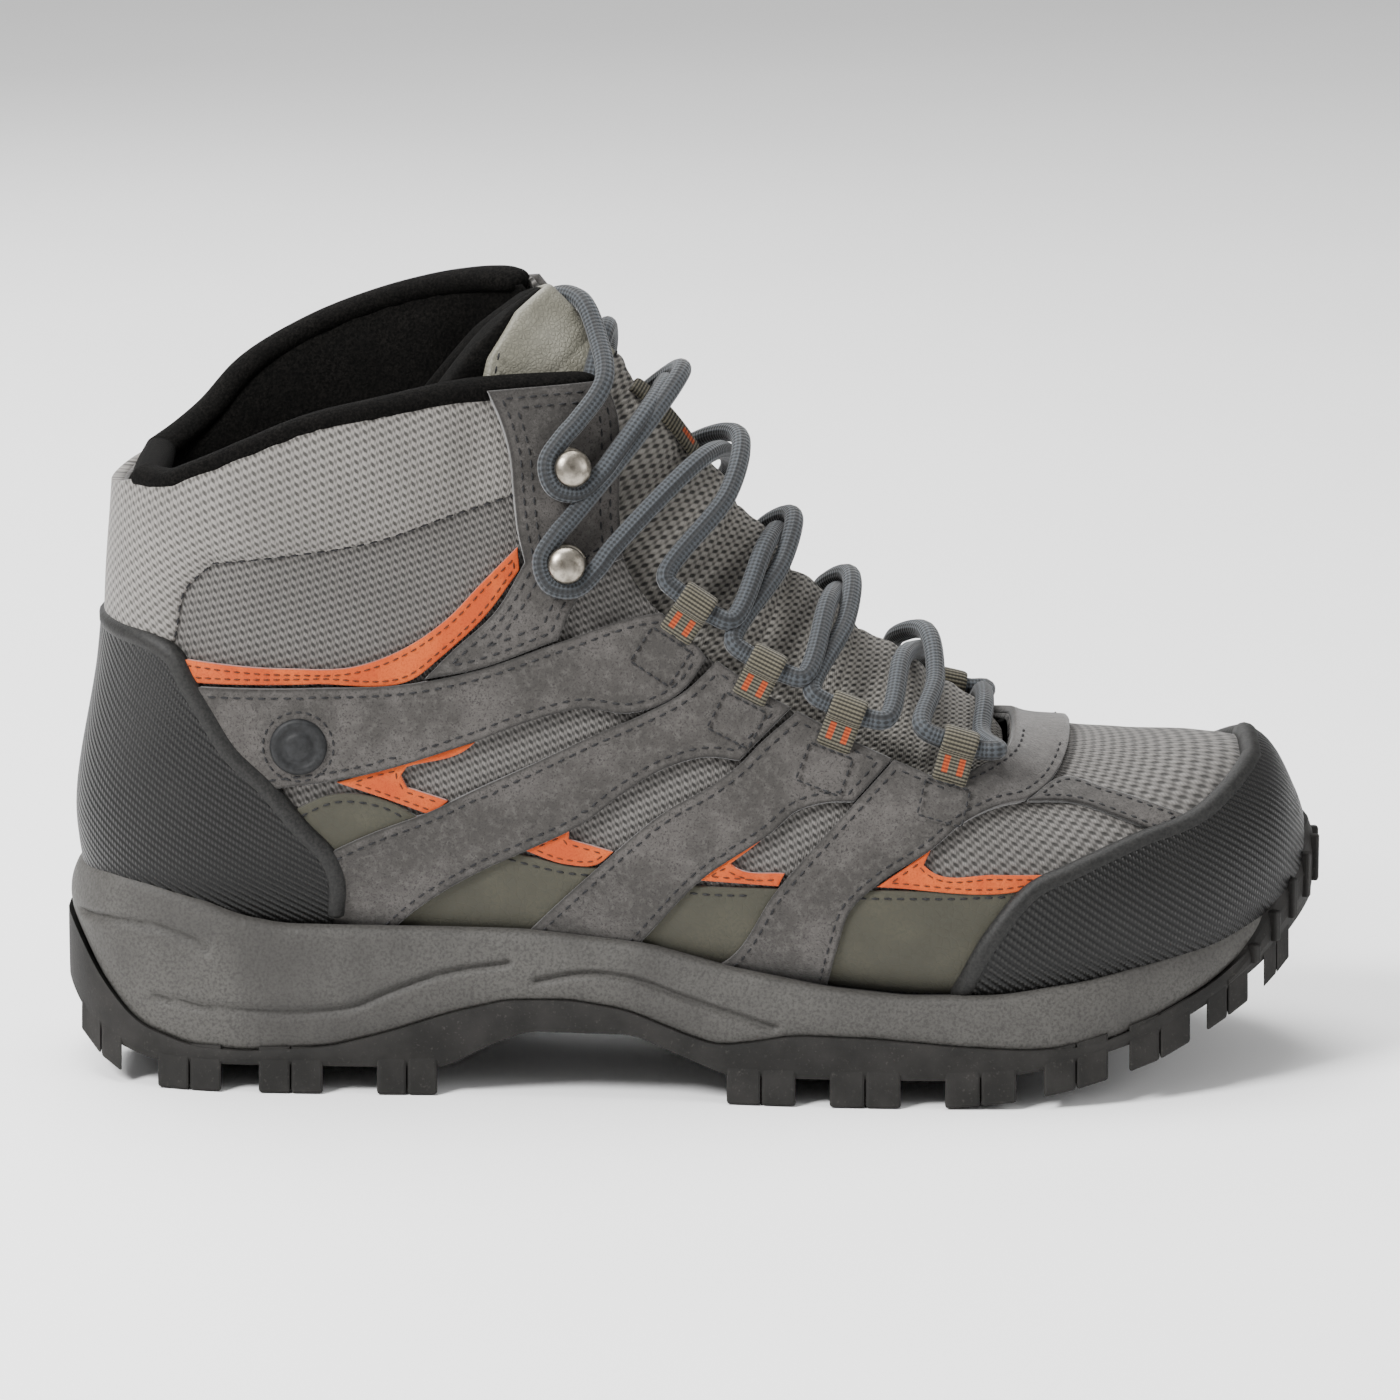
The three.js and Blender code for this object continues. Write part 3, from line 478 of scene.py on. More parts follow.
def join_into(bm, other):
    """Adds another mesh to bm and frees it."""
    mesh = bpy.data.meshes.new("part")
    other.to_mesh(mesh)
    other.free()
    bm.from_mesh(mesh)
    bpy.data.meshes.remove(mesh)


def swap_pattern(bm):
    """Turns the pattern coordinates of a strip round, so that u runs across it and v along it."""
    uv = bm.loops.layers.uv["pattern"]
    for face in bm.faces:
        for loop in face.loops:
            loop[uv].uv = (loop[uv].uv[1], loop[uv].uv[0])


def rounded(bm, edges, radius):
    """Takes the sharpness off edges."""
    bmesh.ops.bevel(bm, geom=edges, offset=radius, offset_type="OFFSET", segments=2, profile=0.5,
                    affect="EDGES", clamp_overlap=True, material=-1)


def smooth_step(value, low, high):
    """0 below low and 1 above high, with a soft change between them."""
    t = np.clip((value - low) / (high - low), 0, 1)
    return t * t * (3 - 2 * t)


def unit(vectors):
    """The same directions at length one."""
    return vectors / np.maximum(np.linalg.norm(vectors, axis=-1, keepdims=True), 1e-9)


def heading_of(line):
    """The direction of a line at each of its points."""
    return unit(np.gradient(line, axis=0))


def run_of(line):
    """How far along a line each of its points lies."""
    return np.concatenate([[0], np.cumsum(np.linalg.norm(np.diff(line, axis=0), axis=1))])


def sampled(at, run, values):
    """The columns of values, read at distances along a line."""
    return np.stack([np.interp(at, run, values[:, k]) for k in range(values.shape[1])], 1)


def spaced(line, count):
    """Points spread evenly along a line."""
    run = run_of(line)
    return sampled(np.linspace(0, run[-1], count), run, line)


def nearest_distance(line, points):
    """How far each point is from a line, measured to the line's own points."""
    tree = KDTree(len(line))
    for k, point in enumerate(line):
        tree.insert(point, k)
    tree.balance()
    return np.array([tree.find(point)[2] for point in points])


SHARPEST_CURVE = math.radians(38)


def smooth_line(points, closed=False, step=1.2):
    """A fine line through points, round where they turn gently and sharp at corners."""
    p = np.array(points, float)
    n = len(p)
    ahead = np.roll(p, -1, 0) - p
    length = np.maximum(np.linalg.norm(ahead, axis=1), 1e-6)
    heading = ahead / length[:, None]
    before = np.roll(heading, 1, 0)
    blend = before * length[:, None] + heading * np.roll(length, 1)[:, None]
    blend /= np.maximum(np.linalg.norm(blend, axis=1), 1e-6)[:, None]
    sharp = np.sum(before * heading, 1) < math.cos(SHARPEST_CURVE)
    if not closed:
        sharp[0] = sharp[-1] = True
    leave = np.where(sharp[:, None], heading, blend)
    arrive = np.where(sharp[:, None], before, blend)
    line = []
    for i in range(n if closed else n - 1):
        k = (i + 1) % n
        t = np.linspace(0, 1, max(2, int(length[i] / step) + 1), endpoint=False)[:, None]
        h1 = 2 * t ** 3 - 3 * t ** 2 + 1
        h2 = t ** 3 - 2 * t ** 2 + t
        h3 = t ** 3 - t ** 2
        line.append(h1 * p[i] + h2 * leave[i] * length[i] + (1 - h1) * p[k] + h3 * arrive[k] * length[i])
    if not closed:
        line.append(p[-1:])
    return np.concatenate(line)


def corded(points, count, closed=False):
    """Points along a centripetal curve through the given points, evenly spaced."""
    p = np.array(points, float)
    if closed:
        q = np.concatenate([p[-1:], p, p[:2]])
    else:
        q = np.concatenate([2 * p[:1] - p[1:2], p, 2 * p[-1:] - p[-2:-1]])
    fine = []
    for i in range(1, len(q) - 2):
        a, b, c, d = q[i - 1:i + 3]
        t0, t1, t2 = (np.linalg.norm(m - k) ** 0.5 for k, m in ((a, b), (b, c), (c, d)))
        m1 = ((b - a) / t0 - (c - a) / (t0 + t1) + (c - b) / t1) * t1
        m2 = ((c - b) / t1 - (d - b) / (t1 + t2) + (d - c) / t2) * t1
        t = np.linspace(0, 1, 24, endpoint=False)[:, None]
        fine.append(b + m1 * t + (3 * (c - b) - 2 * m1 - m2) * t ** 2 + (2 * (b - c) + m1 + m2) * t ** 3)
    fine.append(q[-2:-1])
    return spaced(np.concatenate(fine), count + closed)[:count]


# ---------------------------------------------------------------- the foot form

# Slanting sections from the toe to above the collar: ridge x and z, sole line x and z, middle, half
# width, ridge offset, height of the widest point, and roundness below and above it.
SECTIONS = np.array([
    (150.5, 54, 150.5, 50, 7, 1, 7, 0.4, 2.2, 2),
    (147.5, 64, 147.5, 42, 7, 14, 7, 0.4, 2.4, 2),
    (140, 76.5, 139, 35, 6.5, 27, 6.5, 0.38, 2.8, 2.1),
    (126, 79.5, 124, 28, 5, 39, 5, 0.36, 3.2, 2.2),
    (107, 80.5, 103, 23, 3, 46.5, 4, 0.35, 3.4, 2.05),
    (88, 84, 76, 20, 0, 49, 2, 0.34, 3.4, 1.95),
    (66, 99, 42, 21, -2, 47, 0, 0.34, 3.2, 1.8),
    (43, 115, 2, 24, -3, 42, -1, 0.36, 3, 1.72),
    (24, 134, -42, 27, -2.5, 38, -1, 0.38, 2.8, 1.7),
    (8, 154, -92, 28, -1, 36, -1, 0.4, 2.7, 1.72),
    (-9, 174, -136, 31, 0, 35.5, 0, 0.4, 2.5, 1.78),
    (-22, 188, -149, 60, 0, 35.5, 0, 0.42, 2.3, 1.85),
    (-33, 200, -143, 104, 0, 36.5, 0, 0.44, 2.2, 1.9),
    (-43, 211, -139.5, 150, 0, 38.5, 0, 0.46, 2.2, 2),
    (-52, 220, -140, 180, 0, 40, 0, 0.48, 2.2, 2),
], float)
LAST = len(SECTIONS) - 1
TIP = 0.03


def section_at(s):
    """The section at a station, on a smooth curve through the listed ones."""
    s = np.asarray(s, float)
    i = np.clip(np.floor(s).astype(int), 0, LAST - 1)
    f = (s - i)[..., None]
    a, b, c, d = (SECTIONS[np.clip(i + k, 0, LAST)] for k in (-1, 0, 1, 2))
    bend = (2 * a - 5 * b + 4 * c - d) * f ** 2 + (3 * b - a - 3 * c + d) * f ** 3
    return 0.5 * (2 * b + (c - a) * f + bend)


def form_face(s, angle):
    """A point of the form: angle 0 is the sole line, pi the ridge, and 0 to pi the outer side."""
    s, angle = np.broadcast_arrays(np.asarray(s, float), np.asarray(angle, float))
    fx, fz, bx, bz, middle, half, ridge, widest, low, high = np.moveaxis(section_at(s), -1, 0)
    rise = np.cos(angle)
    power = 2 / np.where(rise >= 0, low, high)
    reach = np.abs(rise) ** power
    share = np.where(rise >= 0, widest * (1 - reach), widest + (1 - widest) * reach)
    lean = np.clip((share - widest) / (1 - widest), 0, 1) ** 2
    out = np.where(np.sin(angle) >= 0, -half, half)
    y = middle + (ridge - middle) * lean + out * np.abs(np.sin(angle)) ** power
    return np.stack([bx + (fx - bx) * share, y, bz + (fz - bz) * share], -1)


def form_axes(s, angle):
    """Outwards, around towards larger angles, and up the boot, with the lengths per step of both."""
    h = 0.03
    s = np.asarray(s, float)
    up = (form_face(np.minimum(s + h, LAST), angle) - form_face(np.maximum(s - h, 0), angle)) / (2 * h)
    around = (form_face(s, np.asarray(angle) + h) - form_face(s, np.asarray(angle) - h)) / (2 * h)
    return unit(np.cross(around, up)), around, up


def on_form(s, angle, lift):
    """A point of the form, lifted off it by some millimetres."""
    return form_face(s, angle) + form_axes(s, angle)[0] * np.asarray(lift, float)[..., None]


TABLE_STEPS = 1400
TABLE_S = np.linspace(0, LAST, TABLE_STEPS + 1)
TABLE = section_at(TABLE_S)


def from_side(points):
    """Station and angle on the outer side of points drawn in side view (x, z)."""
    p = np.atleast_2d(np.array(points, float))
    fx, fz, bx, bz = TABLE[:, 0], TABLE[:, 1], TABLE[:, 2], TABLE[:, 3]
    dx, dz = fx - bx, fz - bz
    x, z = p[:, :1], p[:, 1:]
    off = (dx * (z - bz) - dz * (x - bx)) / np.hypot(dx, dz)
    share = (dx * (x - bx) + dz * (z - bz)) / (dx ** 2 + dz ** 2)
    beyond = np.maximum(0, np.abs(share - 0.5) - 0.62)
    k = np.argmin(np.abs(off) + 30 * beyond, axis=1)
    rows = np.arange(len(p))
    ahead = off[rows, np.minimum(k + 1, TABLE_STEPS)]
    other = np.clip(k + np.where(off[rows, k] * ahead < 0, 1, -1), 0, TABLE_STEPS)
    a, b = off[rows, k], off[rows, other]
    blend = np.where(a * b < 0, a / np.where(a == b, 1, a - b), 0)
    s = TABLE_S[k] + (TABLE_S[other] - TABLE_S[k]) * blend
    part = np.clip(share[rows, k] + (share[rows, other] - share[rows, k]) * blend, 0, 1)
    q = section_at(s)
    widest, low, high = q[:, 7], q[:, 8], q[:, 9]
    under = np.clip(1 - part / widest, 0, 1) ** (low / 2)
    over = -np.clip((part - widest) / (1 - widest), 0, 1) ** (high / 2)
    return s, np.arccos(np.clip(np.where(part <= widest, under, over), -1, 1))


def mirrored(angle, side):
    """An outer-side angle moved to the given side of the boot."""
    return angle if side < 0 else 2 * PI - angle


# ---------------------------------------------------------------- panels on the form

EDGE_REACH = 6  # how far in from a panel's edge the edge attribute still grows
PANEL_RIM = 0.6
PANEL_GRID = 2.2


class Pattern:
    """A closed outline in stations and angles, with scales that make it about true size when flat."""

    def __init__(self, s, angle):
        keep = np.abs(s - np.roll(s, 1)) + np.abs(angle - np.roll(angle, 1)) > 1e-5
        self.s, self.angle = s[keep], angle[keep]
        _, around, up = form_axes(self.s, self.angle)
        self.per_s = float(np.mean(np.linalg.norm(up, axis=1)))
        self.per_angle = float(np.mean(np.linalg.norm(around, axis=1)))
        area = np.sum(self.s * np.roll(self.angle, -1) - np.roll(self.s, -1) * self.angle)
        self.turn = 1 if area > 0 else -1


def side_pattern(outline, side, step):
    """A closed side-view outline laid on the given side of the form."""
    s, angle = from_side(smooth_line(outline, closed=True, step=step))
    return Pattern(s, mirrored(angle, side))


def flat_sheet(pattern, rim, step):
    """The outline filled, with a rim of two narrow rings and cut into a grid."""
    bm = bmesh.new()
    ring = bm.verts.layers.float.new("ring")
    along, across = pattern.s * pattern.per_s, pattern.angle * pattern.per_angle
    face = bm.faces.new([bm.verts.new((a, b, 0)) for a, b in zip(along, across)])
    for number, width in ((1, 0.3 * rim), (2, 0.7 * rim)):
        bmesh.ops.inset_region(bm, faces=[face], thickness=width, use_boundary=True, use_even_offset=True)
        for vert in face.verts:
            vert[ring] = number
    for values, normal in ((along, Vector((1, 0, 0))), (across, Vector((0, 1, 0)))):
        for cut in np.arange(math.ceil(values.min() / step) * step + 0.013, values.max(), step):
            geometry = bm.verts[:] + bm.edges[:] + bm.faces[:]
            bmesh.ops.bisect_plane(bm, geom=geometry, plane_co=normal * cut, plane_no=normal, dist=1e-5)
    return bm, ring


def coordinates(bm):
    """Where the vertices are, one to a row."""
    return np.array([vert.co for vert in bm.verts], float).reshape(-1, 3)


def set_coordinates(bm, points):
    for vert, point in zip(bm.verts, points):
        vert.co = point


def unwrap(bm):
    """Gives the sheet pattern coordinates in millimetres, level with the ground on the outer side."""
    mesh = bpy.data.meshes.new("flat")
    bm.to_mesh(mesh)
    item = bpy.data.objects.new("flat", mesh)
    bpy.context.scene.collection.objects.link(item)
    bpy.context.view_layer.objects.active = item
    item.select_set(True)
    bpy.ops.object.mode_set(mode="EDIT")
    bpy.ops.mesh.select_all(action="SELECT")
    bpy.ops.uv.unwrap(method="ANGLE_BASED", margin=0)
    bpy.ops.object.mode_set(mode="OBJECT")
    count = len(mesh.loops)
    flat = np.zeros(count * 2)
    mesh.uv_layers.active.data.foreach_get("uv", flat)
    flat = flat.reshape(-1, 2)
    corner = np.zeros(count, int)
    mesh.loops.foreach_get("vertex_index", corner)
    place = coordinates(bm)[corner]
    near = place[:, 1] < np.quantile(place[:, 1], 0.3)
    known = np.column_stack([place[near][:, (0, 2)], np.ones(near.sum())])
    fit = np.linalg.lstsq(known, flat[near], rcond=None)[0][:2].T
    if np.linalg.det(fit) < 0:
        flat[:, 0] *= -1
        fit[0] *= -1
    size = math.sqrt(abs(np.linalg.det(fit)))
    turn = math.atan2(fit[1, 0] - fit[0, 1], fit[0, 0] + fit[1, 1])
    back = np.array([[math.cos(turn), -math.sin(turn)], [math.sin(turn), math.cos(turn)]])
    flat = flat @ back / size
    layer = bm.loops.layers.uv.new("pattern")
    k = 0
    for face in bm.faces:
        for loop in face.loops:
            loop[layer].uv = flat[k]
            k += 1
    bpy.data.objects.remove(item)
    bpy.data.meshes.remove(mesh)


def sheet_piece(name, pattern, low, top, slot, nodes, rim=PANEL_RIM, step=PANEL_GRID, swell=None,
                swell_under=False, flatten=False, **more):
    """A closed panel that follows the form from lift low to lift top, with rounded edges."""
    bm, ring = flat_sheet(pattern, rim, step)
    flat = coordinates(bm)
    s, angle = flat[:, 0] / pattern.per_s, flat[:, 1] / pattern.per_angle
    s = np.clip(s, TIP, LAST)
    rings = np.array([vert[ring] for vert in bm.verts])
    drop = rim * (1 if top > low else -1)
    lift = top - np.interp(rings, [0, 1, 2], [drop, 0.3 * drop, 0])
    if swell is not None:
        lift = lift + swell(s, angle)
    upper = on_form(s, angle, lift)
    under = swell(s, angle) if swell_under else 0.0
    lower = on_form(s, angle, np.full(len(s), float(low)) + under)
    set_coordinates(bm, upper)
    if flatten:
        unwrap(bm)
    edge = bm.verts.layers.float.new("edge")
    outline = on_form(np.clip(pattern.s, TIP, LAST), pattern.angle, np.full(len(pattern.s), float(top)))
    for vert, gap in zip(bm.verts, nearest_distance(outline, [vert.co for vert in bm.verts])):
        vert[edge] = min(gap, EDGE_REACH)
    bmesh.ops.extrude_face_region(bm, geom=bm.faces[:], use_keep_orig=True)
    set_coordinates(bm, lower)
    return finish_piece(bm, name, slot, BOOT, nodes, merge=0.0005, **more)


# ---------------------------------------------------------------- stitching

class Stitching:
    """Collects thread stitches and turns them into one piece."""

    def __init__(self):
        self.bm = bmesh.new()

    def run(self, points, normals, pitch=3.0, length=2.1, width=0.62):
        """Stitches along a line of points on a surface."""
        run = run_of(points)
        count = int(run[-1] / pitch)
        if count < 1:
            return
        at = (np.arange(count) + 0.5) * run[-1] / count
        place, ahead, behind = (sampled(at + shift, run, points) for shift in (0, 0.4, -0.4))
        normal = sampled(at, run, normals)
        part = bmesh.new()
        for p, a, b, n in zip(place, ahead, behind, normal):
            along = Vector(a - b).normalized()
            up = Vector(n).normalized()
            across = up.cross(along).normalized()
            up = along.cross(across)
            turn = Matrix((along, across, up)).transposed().to_4x4()
            scale = Matrix.Diagonal((length / 2, width / 2, width / 2, 1))
            matrix = Matrix.Translation(Vector(p)) @ turn @ scale
            bmesh.ops.create_uvsphere(part, u_segments=6, v_segments=4, radius=1, matrix=matrix)
        join_into(self.bm, part)

    def on_path(self, s, angle, lift, **more):
        """Stitches along stations and angles of the form."""
        self.run(on_form(s, angle, lift), form_axes(s, angle)[0], **more)

    def along_edge(self, pattern, inset, lift, dip=None, **more):
        """A line of stitches a constant distance inside a panel's edge."""
        s, angle = np.append(pattern.s, pattern.s[0]), np.append(pattern.angle, pattern.angle[0])
        s = np.clip(s, TIP, LAST)
        edge = on_form(s, angle, np.full(len(s), lift))
        out, around, up = form_axes(s, angle)
        inward = np.cross(heading_of(edge), out) * pattern.turn * inset
        uu, ua, aa = (np.sum(p * q, 1) for p, q in ((up, up), (up, around), (around, around)))
        bu, ba = np.sum(inward * up, 1), np.sum(inward * around, 1)
        size = uu * aa - ua * ua
        row_s = s + (bu * aa - ba * ua) / size
        row_angle = angle + (ba * uu - bu * ua) / size
        sunk = dip(row_s, row_angle) if dip else 0.0
        points = on_form(np.clip(row_s, TIP, LAST), row_angle, np.full(len(s), lift) + sunk)
        good = nearest_distance(edge, points) > inset * 0.9
        longest_step, fewest_points = 6, 4
        jump = np.linalg.norm(np.diff(points, axis=0), axis=1) > longest_step
        start = 0
        for k in range(len(points)):
            if k + 1 == len(points) or not good[k] or jump[k]:
                if k - start > fewest_points:
                    self.run(points[start:k], out[start:k], **more)
                start = k + 1

    def finish(self, name, blend=None, finish="thread"):
        """Makes one piece of all the stitches."""
        finish_piece(self.bm, name, "binding_tape", BOOT, finish=finish, blend=blend, merge=0)


# ---------------------------------------------------------------- outlines in side view (x, z)

# Each list has the points that one edge or one panel needs, in millimetres. smooth_line joins them.
COLLAR = {
    "lateral": [(-134, 149.5), (-127, 150), (-120.5, 152.7), (-107, 158.7), (-91, 165), (-75, 168.2),
                (-54, 171.5), (-40, 172), (-22, 172)],
    "medial": [(-134, 149.5), (-130, 151.5), (-122, 157), (-112, 167), (-95, 177), (-78, 184), (-66, 188),
               (-55, 191), (-44, 193), (-39, 193)],
}
THROAT = [(-22, 172), (-19, 164), (-18, 152.6), (-18, 142), (-17.5, 135.4), (-16, 129.3), (-11.8, 122),
          (-6, 115.8), (2, 108.3), (20, 96.5), (38.4, 86.9), (60.7, 76.8), (71.7, 79.8), (79.5, 84.4),
          (83, 92)]
MEDIAL_THROAT_TOP = [(-39, 193), (-30, 182), (-22, 172)]
COLLAR_FRONT = {"lateral": [(-36, 148), (-36, 171.6)], "medial": [(-36, 148), (-36, 171), (-42, 192.8)]}
COLLAR_STITCH = [(-144, 100), (-136, 101), (-129, 104.5), (-125.6, 110.5), (-122.3, 123.7), (-115.5, 130.7),
                 (-97.9, 132.8), (-75.3, 136.2), (-59.4, 141.3), (-45.1, 145.4), (-36, 148)]
MUDGUARD = [(-102, 62), (-100, 68), (-86, 74), (-74, 72.5), (-64, 67), (-50, 62), (-40, 59.3), (-30, 57.2),
            (-20, 56.5), (0, 53), (20, 52.7), (60, 52.7), (88, 52), (97, 50), (97, 26), (33, 27), (5, 31),
            (-40, 34), (-102, 36)]
CHEVRONS = [
    [(-86, 77), (-52.4, 87), (-54, 85.6), (-69, 81), (-70.5, 78.8), (-69, 75.8), (-59, 72.6), (-63, 69),
     (-74, 73)],
    [(-41, 61), (-26, 67.9), (-29.6, 65.6), (-29.6, 63.6), (-18.8, 60.7), (-22.6, 57.7), (-30, 57.5)],
    [(1.5, 54.4), (20.4, 67), (14, 61.8), (9.6, 58.6), (11, 57.6), (22.8, 56.4), (21.3, 53.4)],
    [(45, 53.6), (58, 62.2), (56.2, 58.6), (58, 57.2), (73.5, 56), (91.5, 55.3), (83, 52.8)],
]
COLLAR_ACCENT = [(-124, 106.8), (-98, 105), (-81, 105.5), (-72, 108.5), (-59.4, 116.5), (-51, 125),
                 (-42.3, 133.5), (-41.8, 128), (-50.7, 116.5), (-60.6, 107.6), (-67, 102.6), (-91.5, 101.4),
                 (-124, 101.2)]
TOE_STRIPE = [(81.5, 71.4), (89, 74.8), (101.5, 72.3), (114, 68.7), (121, 66.4), (113.5, 63.4), (104, 67),
              (93.8, 70.2)]
TOE_CAP = [(138.5, 84), (137.7, 75.3), (132, 71), (123.5, 65.8), (107.6, 61), (91.5, 55.3), (83, 52),
           (73.7, 42), (65.6, 27.5), (103, 27), (124, 32), (139, 39), (148, 44)]
HEEL_CAP = [(-146, 112), (-138, 111), (-130, 109.6), (-125.7, 107.5), (-122, 101), (-118, 94), (-112, 84),
            (-104, 76), (-95, 65), (-88, 57), (-86.5, 52), (-87, 44), (-89, 36), (-120, 38), (-150, 42)]
ANKLE_SUEDE = [(-50, 171.6), (-47, 165), (-44.6, 157), (-43.3, 145.7), (-42, 136), (-40.5, 129.8),
               (-47.4, 118.4), (-58.3, 108.6), (-64.6, 102.3), (-53, 104.3), (-32.4, 111.2), (-29.5, 117.8),
               (-26, 123), (-21, 128.3), (-17, 130), (-18, 142), (-18, 152.6), (-19, 164), (-22, 171.6)]
MEDIAL_ANKLE_SUEDE = [(-58, 190), *ANKLE_SUEDE[1:-1], (-22, 172), (-30, 182), (-39, 192.6)]
STRAPS = [
    [(-125, 100.3), (-92, 100.3), (-67, 101.3), (-53, 104), (-32, 110.7), (-12, 116.5), (-7.5, 117), (2, 108),
     (3.5, 106), (-1.8, 99.2), (-15, 93.8), (-26, 95), (-38, 92.4), (-53, 87), (-84, 78), (-101, 75.5),
     (-125, 72)],
    [(-97, 55), (-77, 64.7), (-65, 69.3), (-50, 76.5), (-39, 81.5), (-23, 88.9), (-13, 93), (-1.8, 98.6),
     (6, 105.4), (20, 96.2), (24, 94.2), (16, 86.8), (11.7, 82.6), (4.4, 83.5), (-6, 81), (-16, 75.2),
     (-26, 67.7), (-40, 60.7), (-50.7, 55.7), (-67.5, 45), (-76, 37), (-97, 37)],
    [(-44, 35), (-38.5, 41.2), (-22.6, 56.7), (-6, 70.8), (5.5, 77.2), (12, 82), (16.5, 86.3), (25.5, 93.4),
     (38.4, 86.6), (48.5, 82), (39.4, 73), (33, 72.9), (25, 70.6), (20.3, 66.6), (3.6, 55.3), (-12, 38.5),
     (-16, 34)],
]
VAMP = [(83, 92), (79.5, 84.4), (71.7, 79.8), (60.7, 76.8), (49, 81.8), (39.8, 72.8), (21.3, 52.8), (7, 33),
        (3, 31), (33, 27), (35.5, 38), (39.3, 48.7), (45, 54), (58, 62), (66, 67.8), (75, 71), (81.6, 72),
        (88, 75.2), (92.3, 80), (95, 88)]

# How far the panels stand off the mesh.
PANEL_UNDERSIDE = 0.1
SUEDE_TOP = 2.8
CAP_TOP = 3.4
CAP_RIM_RADIUS = 2.7
TRIM_TOP = 1.3
CHEVRON_TOP = TRIM_TOP + 0.5
ACCENT_TOP = 1.9
TOE_STRIP_TOP = 1.6
ORANGE_STITCHES = {"pitch": 2.4, "length": 1.8}


# ---------------------------------------------------------------- upper

def domain(points, side=-1):
    """Stations and angles along a line drawn in side view."""
    s, angle = from_side(smooth_line(points))
    return np.column_stack([s, mirrored(angle, side)])


def pattern_of(*chains):
    """A pattern whose outline runs through the chains one after the other."""
    line = np.concatenate([np.array(chain, float).reshape(-1, 2) for chain in chains])
    return Pattern(line[:, 0], line[:, 1])


def trimmed(chain, seam):
    """Drops repeated points where a chain runs along the seam at either end."""
    on_seam = np.abs(chain[:, 1] - seam) < 1e-4
    first = np.argmin(on_seam) - 1 if on_seam[0] else 0
    last = len(chain) - (np.argmin(on_seam[::-1]) - 1 if on_seam[-1] else 0)
    return chain[max(first, 0):last]


def reflected(chain, seam):
    """The chain's mirror image across the seam, run backwards. The two sides share the seam line."""
    return np.column_stack([chain[::-1, 0], 2 * seam - chain[::-1, 1]])


def across_seam(points, seam, tail=()):
    """An outer-side outline from seam to seam, completed by its mirror image on the inner side."""
    outer = trimmed(domain(points), seam)
    if len(tail):
        outer = np.concatenate([outer, tail])
    return pattern_of(outer, reflected(outer, seam))


def collar_rim(side):
    """The top edge of the collar, from the heel forwards."""
    return domain(COLLAR[side], SIDES[side])


HEEL_TOP = collar_rim("lateral")[0, 0]
stitch_row = {side: domain(COLLAR_STITCH, out) for side, out in SIDES.items()}
RIM_POINTS = np.concatenate([on_form(*collar_rim(side).T, 0.0) for side in SIDES])
STITCH_POINTS = np.concatenate([on_form(*row.T, 0.0) for row in stitch_row.values()])


def collar_swell(height, groove=0.5):
    """The swelling of the padded collar between its stitch line and its rim, flat ahead of the pad."""
    pad_front, pad_full, groove_width = -51, -62, 1.1

    def swell(s, angle):
        points = form_face(s, angle)
        low = nearest_distance(STITCH_POINTS, points)
        high = nearest_distance(RIM_POINTS, points)
        share = low / np.maximum(low + high, 1e-6)
        fade = 1 - smooth_step(points[..., 0], pad_full, pad_front)
        padding = height * np.sin(PI * np.clip(share * 1.06, 0, 1)) ** 0.6
        return fade * padding - groove * np.exp(-(low / groove_width) ** 2)

    return swell


def throat_dip(s, angle):
    """The upper sinks a little across the instep at the foot of the throat."""
    depth, place, length, spread = 4.3, 80, 8, 0.62
    x = form_face(s, angle)[..., 0]
    return -depth * np.exp(-((x - place) / length) ** 2) * np.exp(-((angle - PI) / spread) ** 2)


def make_upper():
    """The mesh skin, the knit lining under it and the padded collar over it."""
    outer = trimmed(np.concatenate([collar_rim("lateral"), domain(THROAT)]), PI)
    inner = [collar_rim("medial"), domain(MEDIAL_THROAT_TOP, 1), domain(THROAT, 1)]
    inner = trimmed(np.concatenate(inner), PI)
    outer[0, 1], inner[0, 1] = 0, 2 * PI
    base = [(s, 2 * PI) for s in np.linspace(HEEL_TOP, TIP, 60)[1:]]
    tip = [(TIP, a) for a in np.linspace(2 * PI, 0, 40)[1:-1]]
    back = [(s, 0) for s in np.linspace(TIP, HEEL_TOP, 60)[:-1]]
    whole = pattern_of(outer, inner[::-1], base, tip, back)
    sheet_piece("mesh_upper", whole, -1.5, 0.0, "upper_mesh", ["upper_shell", "midfoot_foam"], rim=0.3,
                step=2.6, swell=throat_dip, swell_under=True, flatten=True)
    lining_swell, shaft_from = collar_swell(-3.4, 0), 100
    sheet_piece("lining", whole, -4.4, -5.6, "lining_knit", ["lining_sock"], rim=0.3, step=3,
                swell=lambda s, a: lining_swell(s, a) * (form_face(s, a)[..., 2] > shaft_from))
    halves = []
    for side, out in SIDES.items():
        front = domain(COLLAR_FRONT[side], out)
        rim = collar_rim(side)
        rim = rim[form_face(*rim.T)[:, 0] < COLLAR_FRONT[side][-1][0]][::-1]
        half = np.concatenate([stitch_row[side], front[1:-1], rim])
        if side == "medial":
            half[:, 1] -= 2 * PI
        halves.append(trimmed(half, 0))
    collar = pattern_of(halves[0], halves[1][::-1])
    pad = sheet_piece("padded_collar", collar, -0.4, 0.7, "upper_mesh", ["collar_foam"], rim=0.4, step=2.2,
                      swell=collar_swell(2.4), flatten=True, finish="collar_mesh")


